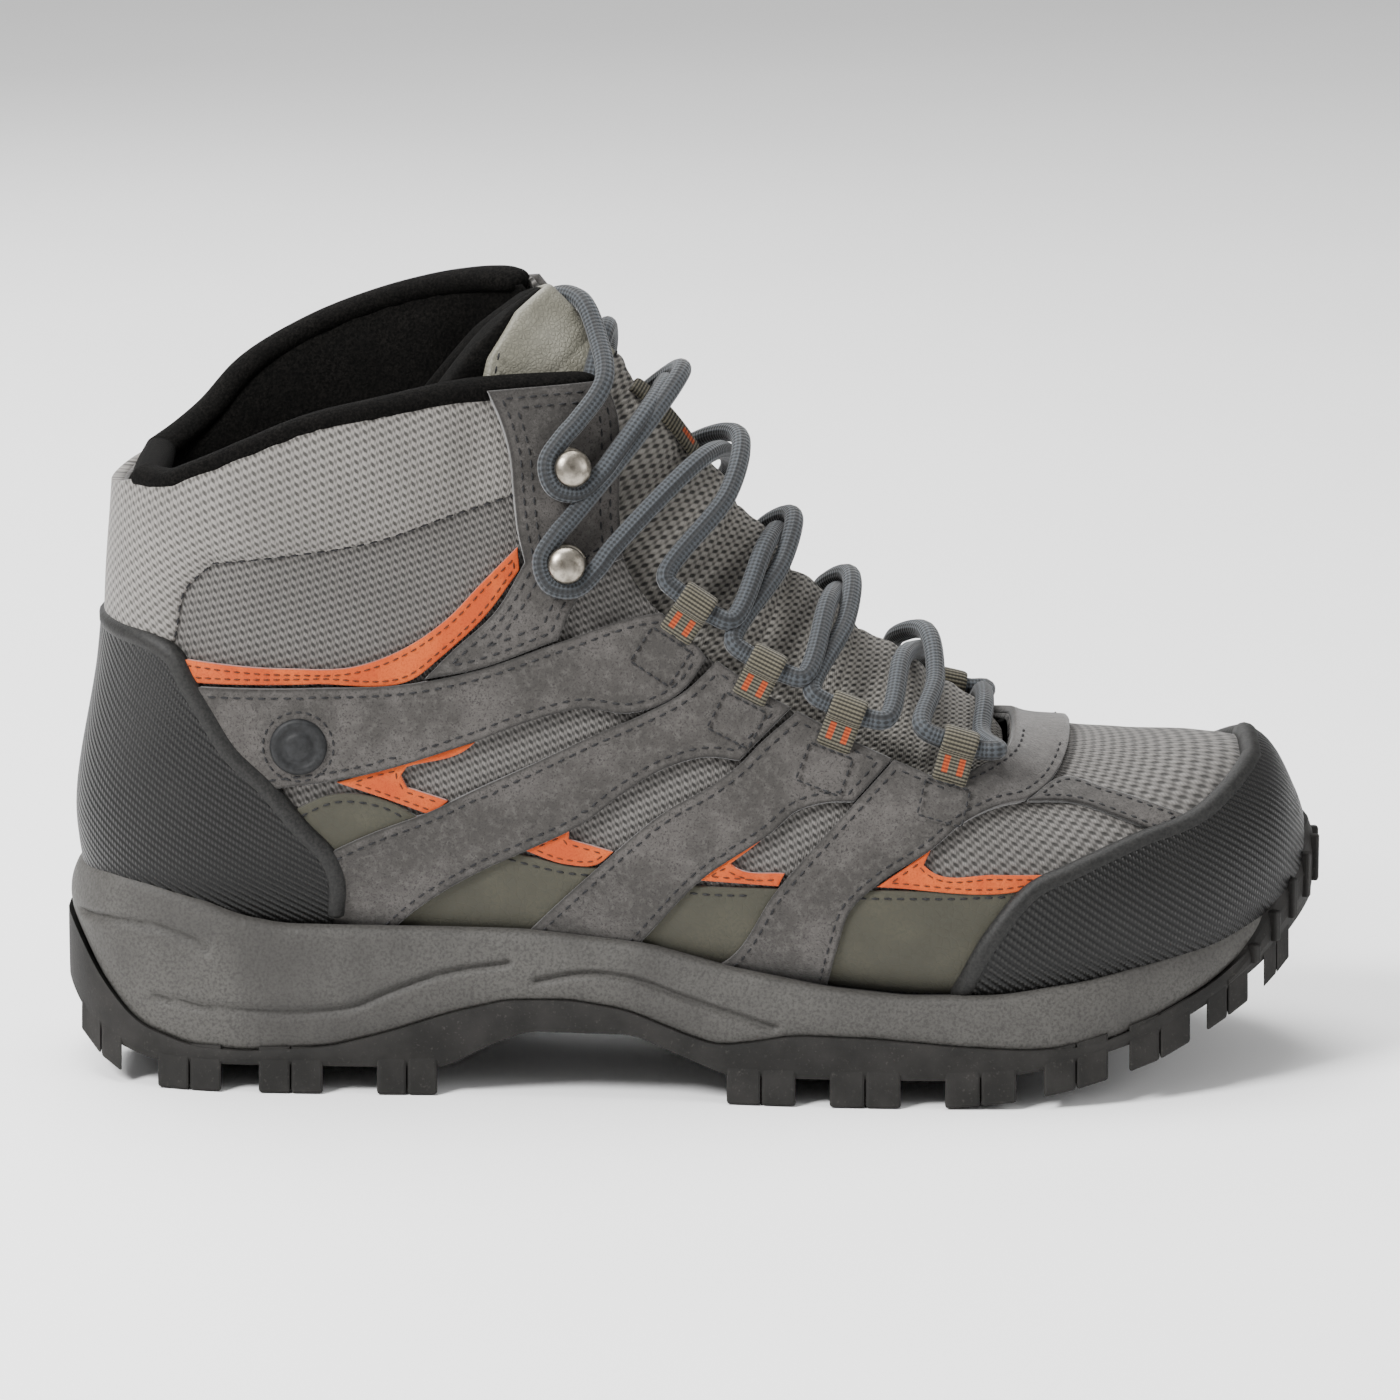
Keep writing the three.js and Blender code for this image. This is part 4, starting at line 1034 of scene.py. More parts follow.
def make_binding():
    """The rolled knit edge that runs round the collar from one front corner to the other."""
    stations, sides, wide, high, sunk = 320, 18, 4.5, 3.4, 2.6
    lateral = collar_rim("lateral")[::-1]
    medial = collar_rim("medial")
    medial[:, 1] -= 2 * PI
    line = np.concatenate([lateral[lateral[:, 1] > 0.001], medial[medial[:, 1] < -0.001]])
    centre = spaced(on_form(line[:, 0], line[:, 1], -sunk), stations)
    out = unit(spaced(form_axes(line[:, 0], line[:, 1])[0], stations))
    rise = np.cross(out, heading_of(centre))
    rise *= np.sign(rise[:, 2:])
    share = np.linspace(0, 1, stations)
    ends = np.sqrt(np.clip(1 - (np.abs(share - 0.5) * 2) ** 60, 0.02, 1))
    rows = []
    for turn in np.arange(sides) * 2 * PI / sides:
        offset = out * (wide * math.cos(turn)) + rise * (high * math.sin(turn) - 0.4)
        rows.append(centre + offset * ends[:, None])
    bm = lofted(np.stack(rows, 1), around=True, caps=True)
    pad = finish_piece(bm, "collar_edge", "binding_tape", BOOT, ["collar_binding"])


def make_side_panels(side, stitches, orange_stitches):
    """The mudguard, inlays, bands and suede of one side, each with its rows of stitches."""
    def panel(name, outline, top, slot, node, rim=PANEL_RIM, step=PANEL_GRID, drawn=1.2):
        pattern = side_pattern(outline, SIDES[side], drawn)
        sheet_piece(name, pattern, PANEL_UNDERSIDE, top, slot, [node], rim=rim, step=step)
        return pattern

    mudguard = panel(f"mudguard_panel_{side}", MUDGUARD, TRIM_TOP, "olive_nubuck", f"mudguard_{side}")
    stitches.along_edge(mudguard, 2.0, TRIM_TOP)
    for number, outline in enumerate(CHEVRONS, 1):
        chevron = panel(f"chevron_inlay_{number}_{side}", outline, CHEVRON_TOP, "orange_trim",
                        f"chevron_{number}_{side}", 0.35, 2, 0.8)
        orange_stitches.along_edge(chevron, 1.1, CHEVRON_TOP, width=0.45, **ORANGE_STITCHES)
    accent = panel(f"collar_accent_band_{side}", COLLAR_ACCENT, ACCENT_TOP, "orange_trim",
                   f"collar_accent_{side}", 0.4, 2, 0.9)
    orange_stitches.along_edge(accent, 1.3, ACCENT_TOP, width=0.5, **ORANGE_STITCHES)
    strip = panel(f"toe_strip_{side}", TOE_STRIPE, TOE_STRIP_TOP, "grey_suede", f"toe_stripe_{side}",
                  0.4, 1.8, 0.8)
    stitches.along_edge(strip, 1.2, TOE_STRIP_TOP, pitch=2.6, length=1.8)
    outline = ANKLE_SUEDE if side == "lateral" else MEDIAL_ANKLE_SUEDE
    ankle = panel(f"ankle_panel_{side}", outline, SUEDE_TOP + 0.1, "grey_suede", f"ankle_suede_{side}")
    for row_inset in (2.2, 4.6):
        stitches.along_edge(ankle, row_inset, SUEDE_TOP + 0.1)
    for number, outline in enumerate(STRAPS, 1):
        top = SUEDE_TOP - 0.15 * number
        strap = panel(f"strap_panel_{number}_{side}", outline, top, "grey_suede", f"strap_{number}_{side}")
        stitches.along_edge(strap, 2.2, top)


def make_cap(name, outline, seam, node, tail=()):
    """A coated cap over the toe or the heel."""
    sheet_piece(name, across_seam(outline, seam, tail), PANEL_UNDERSIDE, CAP_TOP, "cap_textile", [node],
                rim=0.9, flatten=True)


def make_cap_rim(name, outline, seam):
    """The folded edge along a cap, from one side of the sole to the other."""
    chain = trimmed(domain(outline), seam)
    line = np.concatenate([chain[::-1], reflected(chain, seam)[::-1][1:]])
    centre = spaced(on_form(line[:, 0], line[:, 1], CAP_TOP - 2.1), 420)
    finish_piece(swept(centre, CAP_RIM_RADIUS, 14), name, "cap_textile", BOOT, finish="folded_rim")


def make_panels():
    """Everything sewn on the mesh: side panels, vamp, caps and their rims."""
    stitches, orange_stitches = Stitching(), Stitching()
    for side in SIDES:
        make_side_panels(side, stitches, orange_stitches)
    vamp = across_seam(VAMP, PI)
    vamp_top = SUEDE_TOP - 0.5
    sheet_piece("vamp_panel", vamp, PANEL_UNDERSIDE, vamp_top, "grey_suede", ["vamp_suede"], swell=throat_dip,
                swell_under=True)
    stitches.along_edge(vamp, 2.0, vamp_top, dip=throat_dip)
    toe_tip = [(TIP, a) for a in np.linspace(domain(TOE_CAP)[-1, 1], PI, 24)]
    make_cap("toe_cap_shell", TOE_CAP, PI, "toe_cap", toe_tip)
    make_cap("heel_cap_shell", HEEL_CAP, 0, "heel_cap")
    make_cap_rim("toe_cap_rim", TOE_CAP[:9], PI)
    make_cap_rim("heel_cap_rim", HEEL_CAP[:12], 0)
    for row in stitch_row.values():
        stitches.on_path(row[:, 0], row[:, 1], 0.5, pitch=3.2)
    stitches.finish("panel_stitching")
    orange_stitches.finish("orange_stitching", finish="brown_thread")


def swept(centre, radius, sides):
    """A tube along a line. The frame turns as little as it can."""
    centre = np.array(centre, float)
    along = heading_of(centre)
    first = np.cross(along[0], (0, 0, 1))
    if np.linalg.norm(first) < 0.1:
        first = np.cross(along[0], (0, 1, 0))
    axis = first / np.linalg.norm(first)
    axes = []
    for direction in along:
        axis = unit(axis - direction * np.dot(axis, direction))
        axes.append(axis)
    axes = np.array(axes)
    other = np.cross(along, axes)
    radii = np.broadcast_to(np.asarray(radius, float), len(centre))[:, None]
    rows = [centre + (axes * math.cos(turn) + other * math.sin(turn)) * radii
            for turn in np.arange(sides) * 2 * PI / sides]
    girth = np.linspace(0, 2 * PI * float(radii.max()), sides + 1)
    return lofted(np.stack(rows, 1), around=True, caps=True, u=run_of(centre), v=girth)


# ---------------------------------------------------------------- tongue

TONGUE_FACE = -6.0
LEATHER_WIDTH = 0.66  # of the tongue's own width
KEEPER_SPREAD = 0.26
BEND = ((-0.0105, 0, 0.1625), (-0.0155, 0, 0.1775))


def tongue_half(s):
    """Half the width of the tongue in radians at a station."""
    return np.interp(s, [5.1, 5.5, 6, 7, 8, 9, 10, 10.6, 11.2, 11.6, 11.8, 11.86],
                     [0.35, 0.7, 0.88, 0.98, 1.0, 1.06, 1.22, 1.32, 1.3, 1.1, 0.75, 0.4])


def tongue_surface(s, across, lift):
    """A point of the tongue: across is the angle from its middle line."""
    return on_form(np.clip(s, 0, LAST), PI + across, lift)


def tongue_part(name, first, last, depths, puff, slot, nodes, rows=120, width=1.0, base=0.0):
    """A closed padded slab of the tongue between two stations. depths lists stations and thicknesses."""
    shell = TONGUE_FACE + base - 2
    middle = 20
    stations = np.linspace(first, last, rows)
    grid_s, grid_t = np.meshgrid(stations, np.linspace(-1, 1, 2 * middle + 1), indexing="ij")
    across = grid_t * tongue_half(grid_s) * width
    edge = np.sqrt(np.clip(1 - np.abs(grid_t) ** 6, 0, 1))
    run = (grid_s - first) / (last - first)
    ends = np.sqrt(np.clip(1 - np.abs(run * 2 - 1) ** 14, 0, 1))
    swell = edge * ends
    fold_pitch, ripple_pitch = 0.78, 0.31
    folds = puff * (np.abs(np.sin(grid_s * PI / fold_pitch + 0.5 + 0.25 * grid_t)) ** 0.6 - 0.55)
    folds = folds + puff * 0.12 * np.sin(grid_s * 2 * PI / ripple_pitch + grid_t * 2)
    outer = tongue_surface(grid_s, across, shell + (2 + folds) * swell)
    inner = tongue_surface(grid_s, across, shell - (np.interp(grid_s, *depths) - 2) * swell)
    ring = np.concatenate([outer, inner[:, ::-1][:, 1:-1]], 1)
    girth = run_of(np.concatenate([ring[rows // 2], ring[rows // 2, :1]]))
    bm = lofted(ring, around=True, caps=True, u=run_of(outer[:, middle]), v=girth)
    return finish_piece(bm, name, slot, BOOT, nodes, blend=BEND)


def make_tongue():
    """The folded mesh body, the knit padding at its top and the leather facing over that."""
    body = tongue_part("tongue_mesh", 5.3, 11.0, ([5, 6, 9, 10, 11], [3, 4.5, 5.5, 6, 5]), 2.3, "tongue_mesh",
                       ["tongue_body"], rows=220)
    pad = tongue_part("tongue_pad", 10.15, 11.86, ([10.1, 10.6, 11.2, 11.9], [6, 12, 15, 12]), 0.0,
                      "lining_knit", ["tongue_flap"], rows=90, base=-1.2)
    top = tongue_part("tongue_leather_facing", 10.32, 11.8, ([10, 12], [2.6, 2.6]), 0.3, "tongue_leather", [],
                      rows=70, width=LEATHER_WIDTH, base=0.9)
    stitches = Stitching()
    columns = np.linspace(-0.8, 0.8, 80)
    foot = np.full(80, 10.4)
    points = tongue_surface(foot, columns * tongue_half(foot) * LEATHER_WIDTH, TONGUE_FACE + 1.25)
    stitches.run(points, form_axes(foot, PI + columns)[0])
    rim = np.linspace(10.45, 11.6, 60)
    for sign in (-1, 1):
        across = sign * tongue_half(rim) * LEATHER_WIDTH * 0.93
        stitches.run(tongue_surface(rim, across, TONGUE_FACE + 1.1), form_axes(rim, PI + across)[0])
    stitches.finish("tongue_stitching", blend=BEND)


def make_keeper():
    """The webbing tab on the middle of the tongue, which keeps the lace in place."""
    rows, columns, length, width, thickness = 40, 15, 24, 11, 1.1
    grid_s, grid_t = np.meshgrid(np.linspace(9.05, 10.0, rows), np.linspace(-1, 1, columns), indexing="ij")
    rise = 1.6 * np.sin(np.linspace(0, PI, rows)) ** 0.5
    lift = TONGUE_FACE + 0.4 + rise[:, None] * np.ones_like(grid_t)
    upper = tongue_surface(grid_s, grid_t * KEEPER_SPREAD, lift)
    lower = tongue_surface(grid_s, grid_t * KEEPER_SPREAD, lift - thickness)
    ring = np.concatenate([upper, lower[:, ::-1]], 1)
    v = np.concatenate([np.linspace(0, width, columns), np.linspace(width, 0, columns), [0]])
    bm = lofted(ring, around=True, caps=True, u=np.linspace(0, length, rows), v=v)
    swap_pattern(bm)
    finish_piece(bm, "keeper_tab", "loop_webbing", BOOT, ["lace_keeper"])


# ---------------------------------------------------------------- lace and fittings

# Stations and angles of the fittings on the outer side.
LOOPS = [(5.9, 2.2), (6.86, 2.14), (7.64, 2.15), (8.42, 2.2)]
HOOKS = [(9.5, 2.22), (10.05, 2.42)]
BADGE_PLACE = (10.22, 1.5)
BADGE_LIFT = 2.3
BADGE_STITCH_RADIUS, BADGE_STITCH_LIFT = 8.6, 2.6
LACE_RADIUS = LACE_DIAMETER / 2
LACE_REST = TONGUE_FACE + LACE_RADIUS + 0.5
LACE_PITCH = LACE_DIAMETER + 0.5
EYE_RADIUS = LACE_RADIUS + 0.85
EYE_X, EYE_Z = LACE_RADIUS + 9.1, 1.2
WEBBING_HALF = 0.62
TAB_LIFT = 3.1


def fitting_matrix(station, side, lift):
    """Places a fitting drawn with x to the ridge, y up the boot on the outer side and z outwards."""
    s, angle = station
    angle = mirrored(angle, SIDES[side])
    out, around, _ = form_axes(s, angle)
    around = unit(around)
    turn = np.column_stack([around * -SIDES[side], np.cross(out, around), out])
    return turn, on_form(s, angle, lift)


def fitted(points, station, side, lift=TAB_LIFT):
    """Points drawn on a fitting, moved to where it sits on the boot."""
    turn, place = fitting_matrix(station, side, lift)
    return np.array(points, float) @ turn.T + place


def half_lace(start, over):
    """One run of the lace up the boot, from side to side through the loops and around the hooks."""
    order = {"lateral": "medial", "medial": "lateral"}
    through = [(EYE_X + (1.2 if abs(y) > 9 else 0), y, EYE_Z) for y in (-9.5, -5.5, 0, 5.5, 9.5)]
    z = 1.1 + LACE_RADIUS
    around = [(10, -6.2, z - 0.6), (4.4, -6.4, z), (-2.8, -5.3, z), (-6, 0, z), (-2.8, 5.3, z), (4.4, 6.4, z),
              (10, 6.2, z - 0.6)]
    rows = [(station, through) for station in LOOPS] + [(station, around) for station in HOOKS]
    line = []
    for i, (station, points) in enumerate(rows):
        side = start if i % 2 == 0 else order[start]
        line.extend(fitted(points, station, side))
        if i + 1 == len(rows):
            break
        between_loops = i + 1 < len(LOOPS)
        rest, edge = (LACE_REST, LACE_RADIUS - 1.6) if between_loops else (LACE_REST + 2, LACE_RADIUS + 2)
        for t in (0.18, 0.5, 0.82):
            s = (station[0] + 0.22) * (1 - t) + (rows[i + 1][0][0] - 0.22) * t
            across = SIDES[side] * 0.62 * (1 - 2 * t)
            lift = (rest + LACE_PITCH if over[i] else rest) if t == 0.5 else edge
            line.append(on_form(s, PI + across, lift))
    return line


def lace_line():
    """The whole lace, from one tucked end to the other."""
    over_edge = LACE_RADIUS + 3.5 - LACE_REST
    lateral = [(10.42, 0.46, over_edge), (10.7, 0.22, 3), (10.72, -0.14, 0.5), (10.52, -0.38, -0.1),
               (10.1, -0.62, -0.2)]
    medial = [(10.42, -0.46, over_edge), (10.8, -0.28, 3), (11.25, 0, 0.6), (11.5, 0.33, 0),
              (11.35, 0.56, -0.6), (11.0, 0.78, -0.3)]
    tucks = [[on_form(s, PI + a, LACE_REST + lift) for s, a, lift in row] for row in (lateral, medial)]
    bar = [on_form(5.64, PI + a, LACE_REST + 0.6) for a in (-0.5, -0.2, 0.2, 0.5)]
    return (tucks[0][::-1] + half_lace("lateral", [True, False, True, False, True])[::-1] + bar
            + half_lace("medial", [False, True, False, True, False]) + tucks[1])


AGLET_PROFILE = [(-0.6, 1.5), (0.1, 1.75), (0.6, 1.8), (14.6, 1.6), (15.6, 1.4), (16.1, 0.5)]


def make_lace():
    """The braid and the sleeves on its two ends."""
    line = corded(lace_line(), 1500)
    finish_piece(swept(line, LACE_RADIUS, 14), "lace_braid", "lace_cord", BOOT, ["lace"])
    steps, radii = np.array(AGLET_PROFILE).T
    for side, end, before in (("lateral", line[0], line[4]), ("medial", line[-1], line[-5])):
        sleeve = swept(end + unit(end - before) * steps[:, None], radii, 20)
        finish_piece(sleeve, f"aglet_sleeve_{side}", "aglet_plastic", BOOT, [f"aglet_{side}"])


def spun(profile, steps):
    """A turned piece about its z axis from a profile of radius and height."""
    bm = bmesh.new()
    verts = [bm.verts.new((r, 0, h)) for r, h in profile]
    edges = [bm.edges.new(pair) for pair in zip(verts, verts[1:])]
    bmesh.ops.spin(bm, geom=verts + edges, cent=(0, 0, 0), axis=(0, 0, 1), angle=2 * PI, steps=steps,
                   use_merge=True)
    bmesh.ops.remove_doubles(bm, verts=bm.verts, dist=1e-4)
    return bm


def put(bm, station, side, lift):
    """Moves a fitting's mesh to where it sits on the boot."""
    turn, place = fitting_matrix(station, side, lift)
    matrix = Matrix.Translation(Vector(place)) @ Matrix(turn.tolist()).to_4x4()
    bmesh.ops.transform(bm, matrix=matrix, verts=bm.verts)


HOOK_PROFILE = [(0, 0), (5.5, 0), (5.7, 0.4), (5.4, 0.8), (2.4, 1.0), (1.7, 1.7), (1.6, 4.8), (2.2, 5.7),
                (4.1, 5.9), (4.6, 6.4), (4.4, 7.4), (3.3, 8.5), (1.7, 9.1), (0, 9.3)]
BADGE_PROFILE = [(0, 1.6), (2.6, 1.6), (3.2, 1.3), (3.6, 0.9), (4.6, 0.9), (5.1, 1.3), (5.8, 1.5), (6.6, 1.2),
                 (7, 0.5), (7, -0.6), (0, -0.6)]
STITCH_BOX = [(-9, -5.6), (-9, 5.6), (1, 5.6), (1, -5.6), (-9, -5.6)]
BOX_SUNK = -0.35


def make_hook(number, station, side):
    """A domed stud on a flared foot, which the lace goes round."""
    hook = spun(np.clip(smooth_line(HOOK_PROFILE, step=0.35), 0, None), 32)
    put(hook, station, side, TAB_LIFT - 0.4)
    finish_piece(hook, f"speed_hook_{number}_{side}", "hook_nickel", BOOT, [f"lace_hook_{number}_{side}"])


def make_loop(number, station, side, stitches):
    """A folded webbing loop: a flat tab and an eye that the lace passes through."""
    turns = np.linspace(math.radians(200), math.radians(-165), 36)[3:-3:3]
    eye = [(EYE_X + EYE_RADIUS * math.cos(a), EYE_Z + EYE_RADIUS * math.sin(a)) for a in turns]
    line = spaced(corded([(0.5, -2.2), (2, -1.2), (3.6, 0.2), *eye], 70), 70)
    along = heading_of(line)
    normal = np.column_stack([-along[:, 1], along[:, 0]])
    half = LOOP_WIDTH / 2
    columns = np.linspace(-half, half, 15)
    thick = WEBBING_HALF * np.sqrt(np.clip(1 - (np.abs(columns) / (half + 0.1)) ** 8, 0.15, 1))

    def face(sign):
        faces = [line + sign * normal * t for t in thick]
        return np.stack([np.insert(side_line, 1, y, axis=1) for y, side_line in zip(columns, faces)], 1)

    ring = np.concatenate([face(1), face(-1)[:, ::-1]], 1)
    v = np.concatenate([columns + half, (columns + half)[::-1], [0]])
    bm = lofted(ring, around=True, caps=True, u=run_of(line), v=v)
    swap_pattern(bm)
    put(bm, station, side, TAB_LIFT)
    finish_piece(bm, f"webbing_eye_{number}_{side}", "loop_webbing", BOOT, [f"lace_loop_{number}_{side}"])
    out = fitting_matrix(station, side, TAB_LIFT)[0][:, 2]
    for a, b in zip(STITCH_BOX, STITCH_BOX[1:]):
        flat = np.linspace((*a, BOX_SUNK), (*b, BOX_SUNK), 9)
        stitches.run(fitted(flat, station, side), np.tile(out, (9, 1)), pitch=2.2, length=1.9)


def make_badge(stitches):
    """The plain ringed disc on the rear strap, inside its circle of stitches."""
    badge = spun(BADGE_PROFILE, 48)
    put(badge, BADGE_PLACE, "lateral", BADGE_LIFT)
    finish_piece(badge, "round_badge", "badge_rubber", BOOT, ["badge"])
    turn = np.linspace(0, 2 * PI, 49)
    ring = BADGE_STITCH_RADIUS * np.column_stack([np.cos(turn), np.sin(turn), np.zeros(49)])
    out = fitting_matrix(BADGE_PLACE, "lateral", BADGE_STITCH_LIFT)[0][:, 2]
    points = fitted(ring, BADGE_PLACE, "lateral", BADGE_STITCH_LIFT)
    stitches.run(points, np.tile(out, (49, 1)), pitch=2.4, length=1.8)


def make_fittings():
    """The loops, hooks and badge, numbered from the top down."""
    stitches = Stitching()
    for side in SIDES:
        for row, station in enumerate(LOOPS):
            make_loop(len(LOOPS) - row, station, side, stitches)
        for row, station in enumerate(HOOKS):
            make_hook(len(HOOKS) - row, station, side)
    make_badge(stitches)
    stitches.finish("fitting_stitching")


# ---------------------------------------------------------------- sole

GROUND_LINE = [(-160, 20), (-150, 9), (-143, 3.5), (-133, 0), (62, 0), (79, 1.6), (95, 4.6), (114, 9.5),
               (130, 16.6), (141, 22), (150, 29), (160, 38)]
TREAD_LINE = [(-160, 28), (-150, 15), (-143, 10), (-133, 6.5), (-60, 6.5), (-50, 12), (-40, 16), (-14, 16),
              (-2, 11), (9, 6.5), (62, 6.5), (79, 8.1), (95, 11.1), (114, 16), (130, 23), (141, 28.5),
              (150, 35.5), (160, 44)]
JOINT_LINE = [(-160, 42), (-153, 37), (-149, 30), (-143, 22), (-136, 15), (-123, 10.6), (-109, 9.8),
              (-88, 11.3), (-74, 15), (-59, 20), (-45, 23.5), (-30, 24), (-16, 22), (-2, 16.5), (6.5, 13.8),
              (17, 15.4), (24.5, 17), (43, 16.7), (62, 15), (81, 14), (95, 14.4), (105, 16.4), (114, 20.4),
              (128, 26.4), (142.5, 36), (149, 41), (160, 46)]
FOAM_LINE = [(-160, 50), (-148, 52), (-134, 50.5), (-122, 47), (-111, 43), (-100, 41), (-40, 40.5),
             (-12, 38), (7, 33), (32, 28.5), (52, 26.5), (75, 27), (98, 30), (115, 34), (130, 39), (142, 44),
             (149, 49), (160, 54)]
SOLE_PLAN = [(-155, 0), (-150, -18), (-140, -29), (-120, -37), (-90, -40), (-50, -42), (-10, -47),
             (30, -52.6), (60, -54.4), (85, -54.5), (110, -47), (130, -34), (145, -17), (153, -2), (155, 8),
             (153, 19), (145, 32), (130, 46), (110, 53), (85, 55), (60, 50), (30, 43), (-10, 38), (-50, 39),
             (-90, 41), (-120, 39), (-140, 31), (-150, 20)]
GROOVES = [
    [(-132, 22), (-119, 20.5), (-92, 19.9), (-83, 21.2), (-74, 25), (-61, 29.7), (-45, 32.6)],
    [(-38, 28.5), (-26, 30.7), (-16, 30), (-2, 25.4), (20, 18.7)],
    [(-151, 39.4), (-143, 40), (-128, 38.9), (-119, 35.2)],
]
EDGE_LUGS = [(-151, -140), (-131, -115), (-106, -90), (-77, -62), (8.5, 25.5), (33.5, 51), (61.5, 79),
             (85.5, 101.5), (106.5, 122), (126, 137), (141, 148)]
MIDDLE_LUGS = [-124, -100, -76, 17, 40, 63, 87, 109, 128]

LUG_STEP = 3
LUG_PROUD = 2.2
LUG_DEPTH = 17
LUG_ROOT = 4.5
LUG_DRAFT = 2.4
MIDDLE_LUG_REACH = 14
SOLE_BULGE = 0.5

plan_points = [(x, y, 0) for x, y in SOLE_PLAN]
sole_edge = corded(plan_points, 900, closed=True)
turning = int(np.argmax(sole_edge[:, 0]))
EDGE_OF = {
    "lateral": sole_edge[:turning + 1],
    "medial": np.concatenate([sole_edge[turning:], sole_edge[:1]])[::-1],
}


def level(line, x):
    """The height of a line drawn in side view, with its corners eased over a few millimetres."""
    heights = [np.interp(np.asarray(x) + ease, *zip(*line)) for ease in (-3, -1.5, 0, 1.5, 3)]
    return np.mean(heights, axis=0)


def plan_y(x, side):
    """Where the sole's edge lies on a side, at a place along the boot."""
    edge = EDGE_OF[side]
    order = np.argsort(edge[:, 0])
    return np.interp(x, edge[order, 0], edge[order, 1])


def leftward(along):
    """Level directions square to a line, to its left."""
    return np.column_stack([-along[:, 1], along[:, 0], np.zeros(len(along))])


def make_midsole():
    """The foam wall, with a rounded top edge, a slight bulge and carved grooves."""
    steps, levels, groove_depth, groove_width, reach = 720, 30, 1.9, 0.8, 13.0
    edge = corded(plan_points, steps, closed=True)
    inward = leftward(unit(np.roll(edge, -1, 0) - np.roll(edge, 1, 0)))
    top = level(FOAM_LINE, edge[:, 0])
    low = np.minimum(level(JOINT_LINE, edge[:, 0]), top - 2.5)
    t = np.linspace(0, 1, levels)
    height = low[:, None] + (top - low)[:, None] * t
    rounding = 1.6 * (1 - np.sqrt(np.clip(1 - np.clip((t - 0.9) / 0.1, 0, 1) ** 2, 0, 1)))
    bulge = 0.9 * np.sin(PI * t) ** 0.8
    inset = 1.3 + rounding[None] - bulge[None] + 2.2 * t[None] ** 2
    flat = np.stack([np.repeat(edge[:, :1], levels, 1), height], -1).reshape(-1, 2)
    carved = np.zeros(len(flat))
    for groove in GROOVES:
        line = smooth_line(groove, step=0.5)
        distance = nearest_distance(np.insert(line, 2, 0, axis=1), np.insert(flat, 2, 0, axis=1))
        carved = np.maximum(carved, groove_depth * np.exp(-(distance / groove_width) ** 2))
    inset = inset + carved.reshape(steps, levels)
    wall = edge[:, None] + inward[:, None] * inset[..., None]
    wall[..., 2] = height
    inner_top, inner_low = edge + inward * reach, edge + inward * reach
    inner_top[:, 2], inner_low[:, 2] = top - 1.5, low
    ring = np.concatenate([wall, inner_top[:, None], inner_low[:, None]], 1)
    bm = lofted(ring, around=True, along=True)
    finish_piece(bm, "foam_midsole", "midsole_foam", BOOT, ["midsole"])


def make_outsole():
    """The rubber layer under the foam, its lugs and the lip over the toe."""
    half_length = 154.8
    x = -half_length * np.cos(np.linspace(0.02, PI - 0.02, 300))
    lateral, medial = plan_y(x, "lateral"), plan_y(x, "medial")
    low = level(TREAD_LINE, x)
    top = np.maximum(level(JOINT_LINE, x), low + 2.5)
    across = np.linspace(0, 1, 25)
    up = np.linspace(0, 1, 9)[1:-1]
    columns = [(lateral + (medial - lateral) * share, low) for share in across]
    columns += [(medial + SOLE_BULGE * np.sin(PI * rise), low + (top - low) * rise) for rise in up]
    columns += [(lateral + (medial - lateral) * share, top) for share in across[::-1]]
    columns += [(lateral - SOLE_BULGE * np.sin(PI * rise), low + (top - low) * rise) for rise in up[::-1]]
    bm = lofted(np.stack([np.column_stack([x, y, z]) for y, z in columns], 1), around=True, caps=True)
    for lug in lug_outlines():
        join_into(bm, lug_block(lug))
    join_into(bm, toe_bumper())
    finish_piece(bm, "lugged_outsole", "tread_rubber", BOOT, ["outsole"], smooth=False)


def lug_outlines():
    """Outlines of the split lugs round the edge and the slanted ones down the middle."""
    lugs = []
    for start, end in EDGE_LUGS:
        middle = (start + end) / 2
        for side, out in SIDES.items():
            for a, b in ((start, middle - 0.1), (middle + 0.1, end)):
                ya, yb = float(plan_y(a, side)), float(plan_y(b, side))
                slant = LUG_STEP * (a == start), LUG_STEP * (b == end)
                inner = [y - out * min(LUG_DEPTH, abs(y) - 5) for y in (ya, yb)]
                lugs.append([(a, ya + out * LUG_PROUD), (b, yb + out * LUG_PROUD), (b - slant[1], inner[1]),
                             (a + slant[0], inner[0])])
    for x in MIDDLE_LUGS:
        edges = [float(plan_y(x, side)) for side in SIDES]
        centre = sum(edges) / 2
        half = min(MIDDLE_LUG_REACH, (edges[1] - edges[0]) / 2 - LUG_DEPTH - 4)
        for sign in (-1, 1):
            far, near = centre + sign * half, centre + sign * 0.5
            lugs.append([(x - 8, far), (x, far), (x + 7, near), (x - 2, near)])
    return lugs


def lug_block(outline):
    """A lug from the tread down to the ground, with softened edges and a sloping outer wall."""
    bm = bmesh.new()
    verts = [bm.verts.new((x, y, 1)) for x, y in outline]
    base = bm.faces.new(verts)
    made = bmesh.ops.extrude_face_region(bm, geom=[base])
    lifted = [item for item in made["geom"] if isinstance(item, bmesh.types.BMVert)]
    for vert in bm.verts:
        vert.co.z = float(level(TREAD_LINE, vert.co.x)) + LUG_ROOT
    for vert in verts[:2]:
        vert.co.y *= 1 - LUG_DRAFT / max(abs(vert.co.y), 12)
    for vert in lifted:
        vert.co.z = float(level(GROUND_LINE, vert.co.x))
    bmesh.ops.recalc_face_normals(bm, faces=bm.faces)
    rounded(bm, [edge for edge in bm.edges if any(v in lifted for v in edge.verts)], 0.7)
    return bm


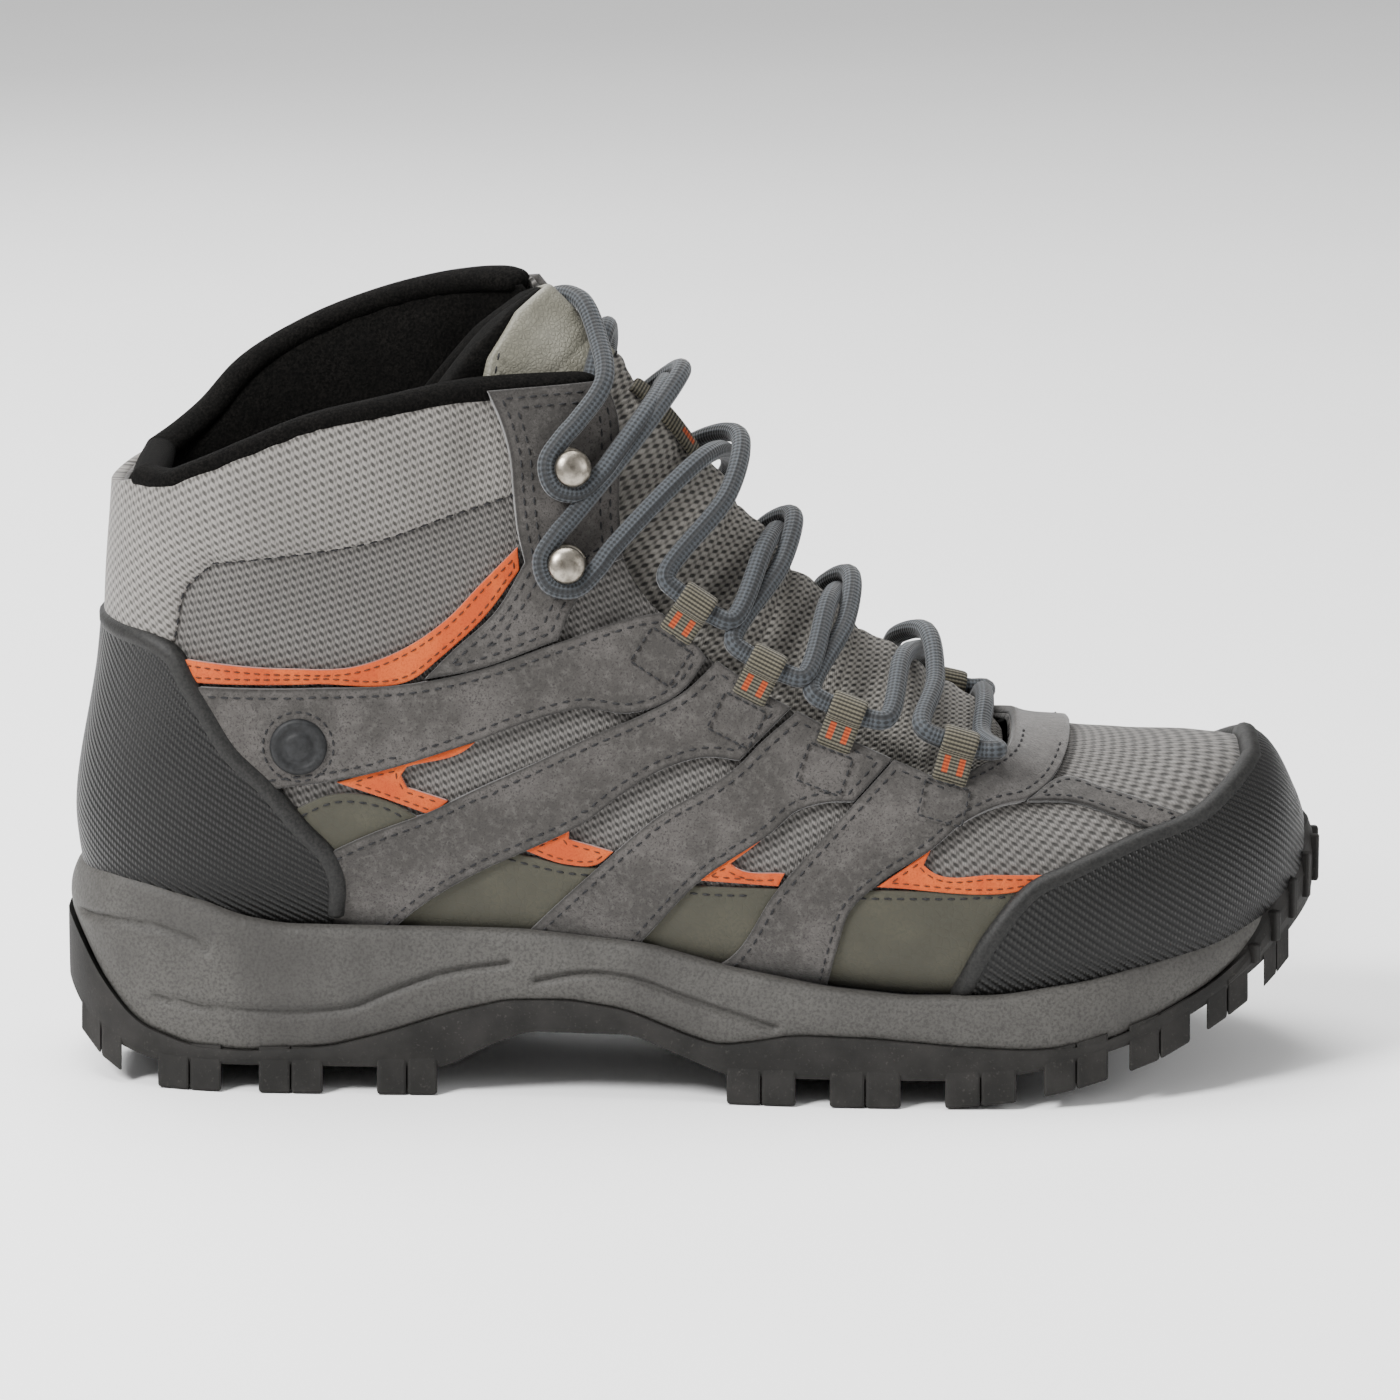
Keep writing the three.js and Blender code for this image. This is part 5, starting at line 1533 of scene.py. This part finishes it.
BUMPER_SECTION = [(0, 0), (0.25, -0.7), (0.5, -0.7), (0.75, 0), (0.92, 1.1), (0.99, 2.2), (0.99, 4), (0.5, 6),
                  (0, 6)]  # share of the height, and how far in from the sole's edge


def toe_bumper():
    """The rubber lip that rises over the toe, with upright ribs."""
    steps, starts_at, rise_over_toe = 90, 131, 17
    front = sole_edge[:, 0] > starts_at
    arc = spaced(sole_edge[(np.arange(len(sole_edge)) >= np.argmax(front)) & front], steps)
    u = np.linspace(-1, 1, steps)
    along = heading_of(arc)
    inward = leftward(along)
    low = level(TREAD_LINE, arc[:, 0]) + 1
    top = level(JOINT_LINE, arc[:, 0]) - 1 + rise_over_toe * np.cos(PI * u / 2) ** 1.3
    columns = []
    for share, inset in BUMPER_SECTION:
        point = arc + inward * inset
        point[:, 2] = low + (top - low) * share
        columns.append(point)
    bm = lofted(np.stack(columns, 1), around=True, caps=True)
    first_rib, rib_spacing = 9, 8
    for k in range(first_rib, steps - 6, rib_spacing):
        height = top[k] - low[k]
        place = Matrix.Translation((*(arc[k] - inward[k] * 0.6)[:2], low[k] + height * 0.45))
        turn = Matrix.Rotation(math.atan2(along[k, 1], along[k, 0]), 4, "Z")
        rib = bmesh.new()
        size = Matrix.Diagonal((2.6, 2.8, height * 0.62, 1))
        bmesh.ops.create_cube(rib, size=1, matrix=place @ turn @ size)
        rounded(rib, rib.edges[:], 0.6)
        join_into(bm, rib)
    return bm


INNER_PARTS = {
    "shank": "stiffener_plastic",
    "heel_counter": "stiffener_plastic",
    "toe_puff": "stiffener_plastic",
    "insole_board": "insole_board",
    "footbed": "footbed_foam",
}


def keep_inner_parts():
    """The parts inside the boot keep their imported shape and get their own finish."""
    for name, finish in INNER_PARTS.items():
        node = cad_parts[name]
        if node.material_slots:
            for slot in node.material_slots:
                slot.material = finishes[finish].material
        else:
            node.data.materials.append(finishes[finish].material)


def make_floor():
    """A plain pale floor, a hair below the sole."""
    bm = bmesh.new()
    bmesh.ops.create_grid(bm, x_segments=2, y_segments=2, size=6)
    mesh = bpy.data.meshes.new("floor")
    bm.to_mesh(mesh)
    bm.free()
    floor = bpy.data.objects.new("floor", mesh)
    floor.location = (0, 0, -0.0002)
    bpy.context.scene.collection.objects.link(floor)
    pale = Finish("pale_floor", 0.85)
    tone = pale.noise(300, 2)
    pale.colour(pale.mix(tone.step(0.2, 0.8), srgb(250, 250, 250, 1), srgb(254, 254, 254, 1)))
    mesh.materials.append(pale.material)


make_floor()
make_upper()
make_binding()
make_panels()
make_tongue()
make_keeper()
make_lace()
make_fittings()
make_midsole()
make_outsole()
keep_inner_parts()
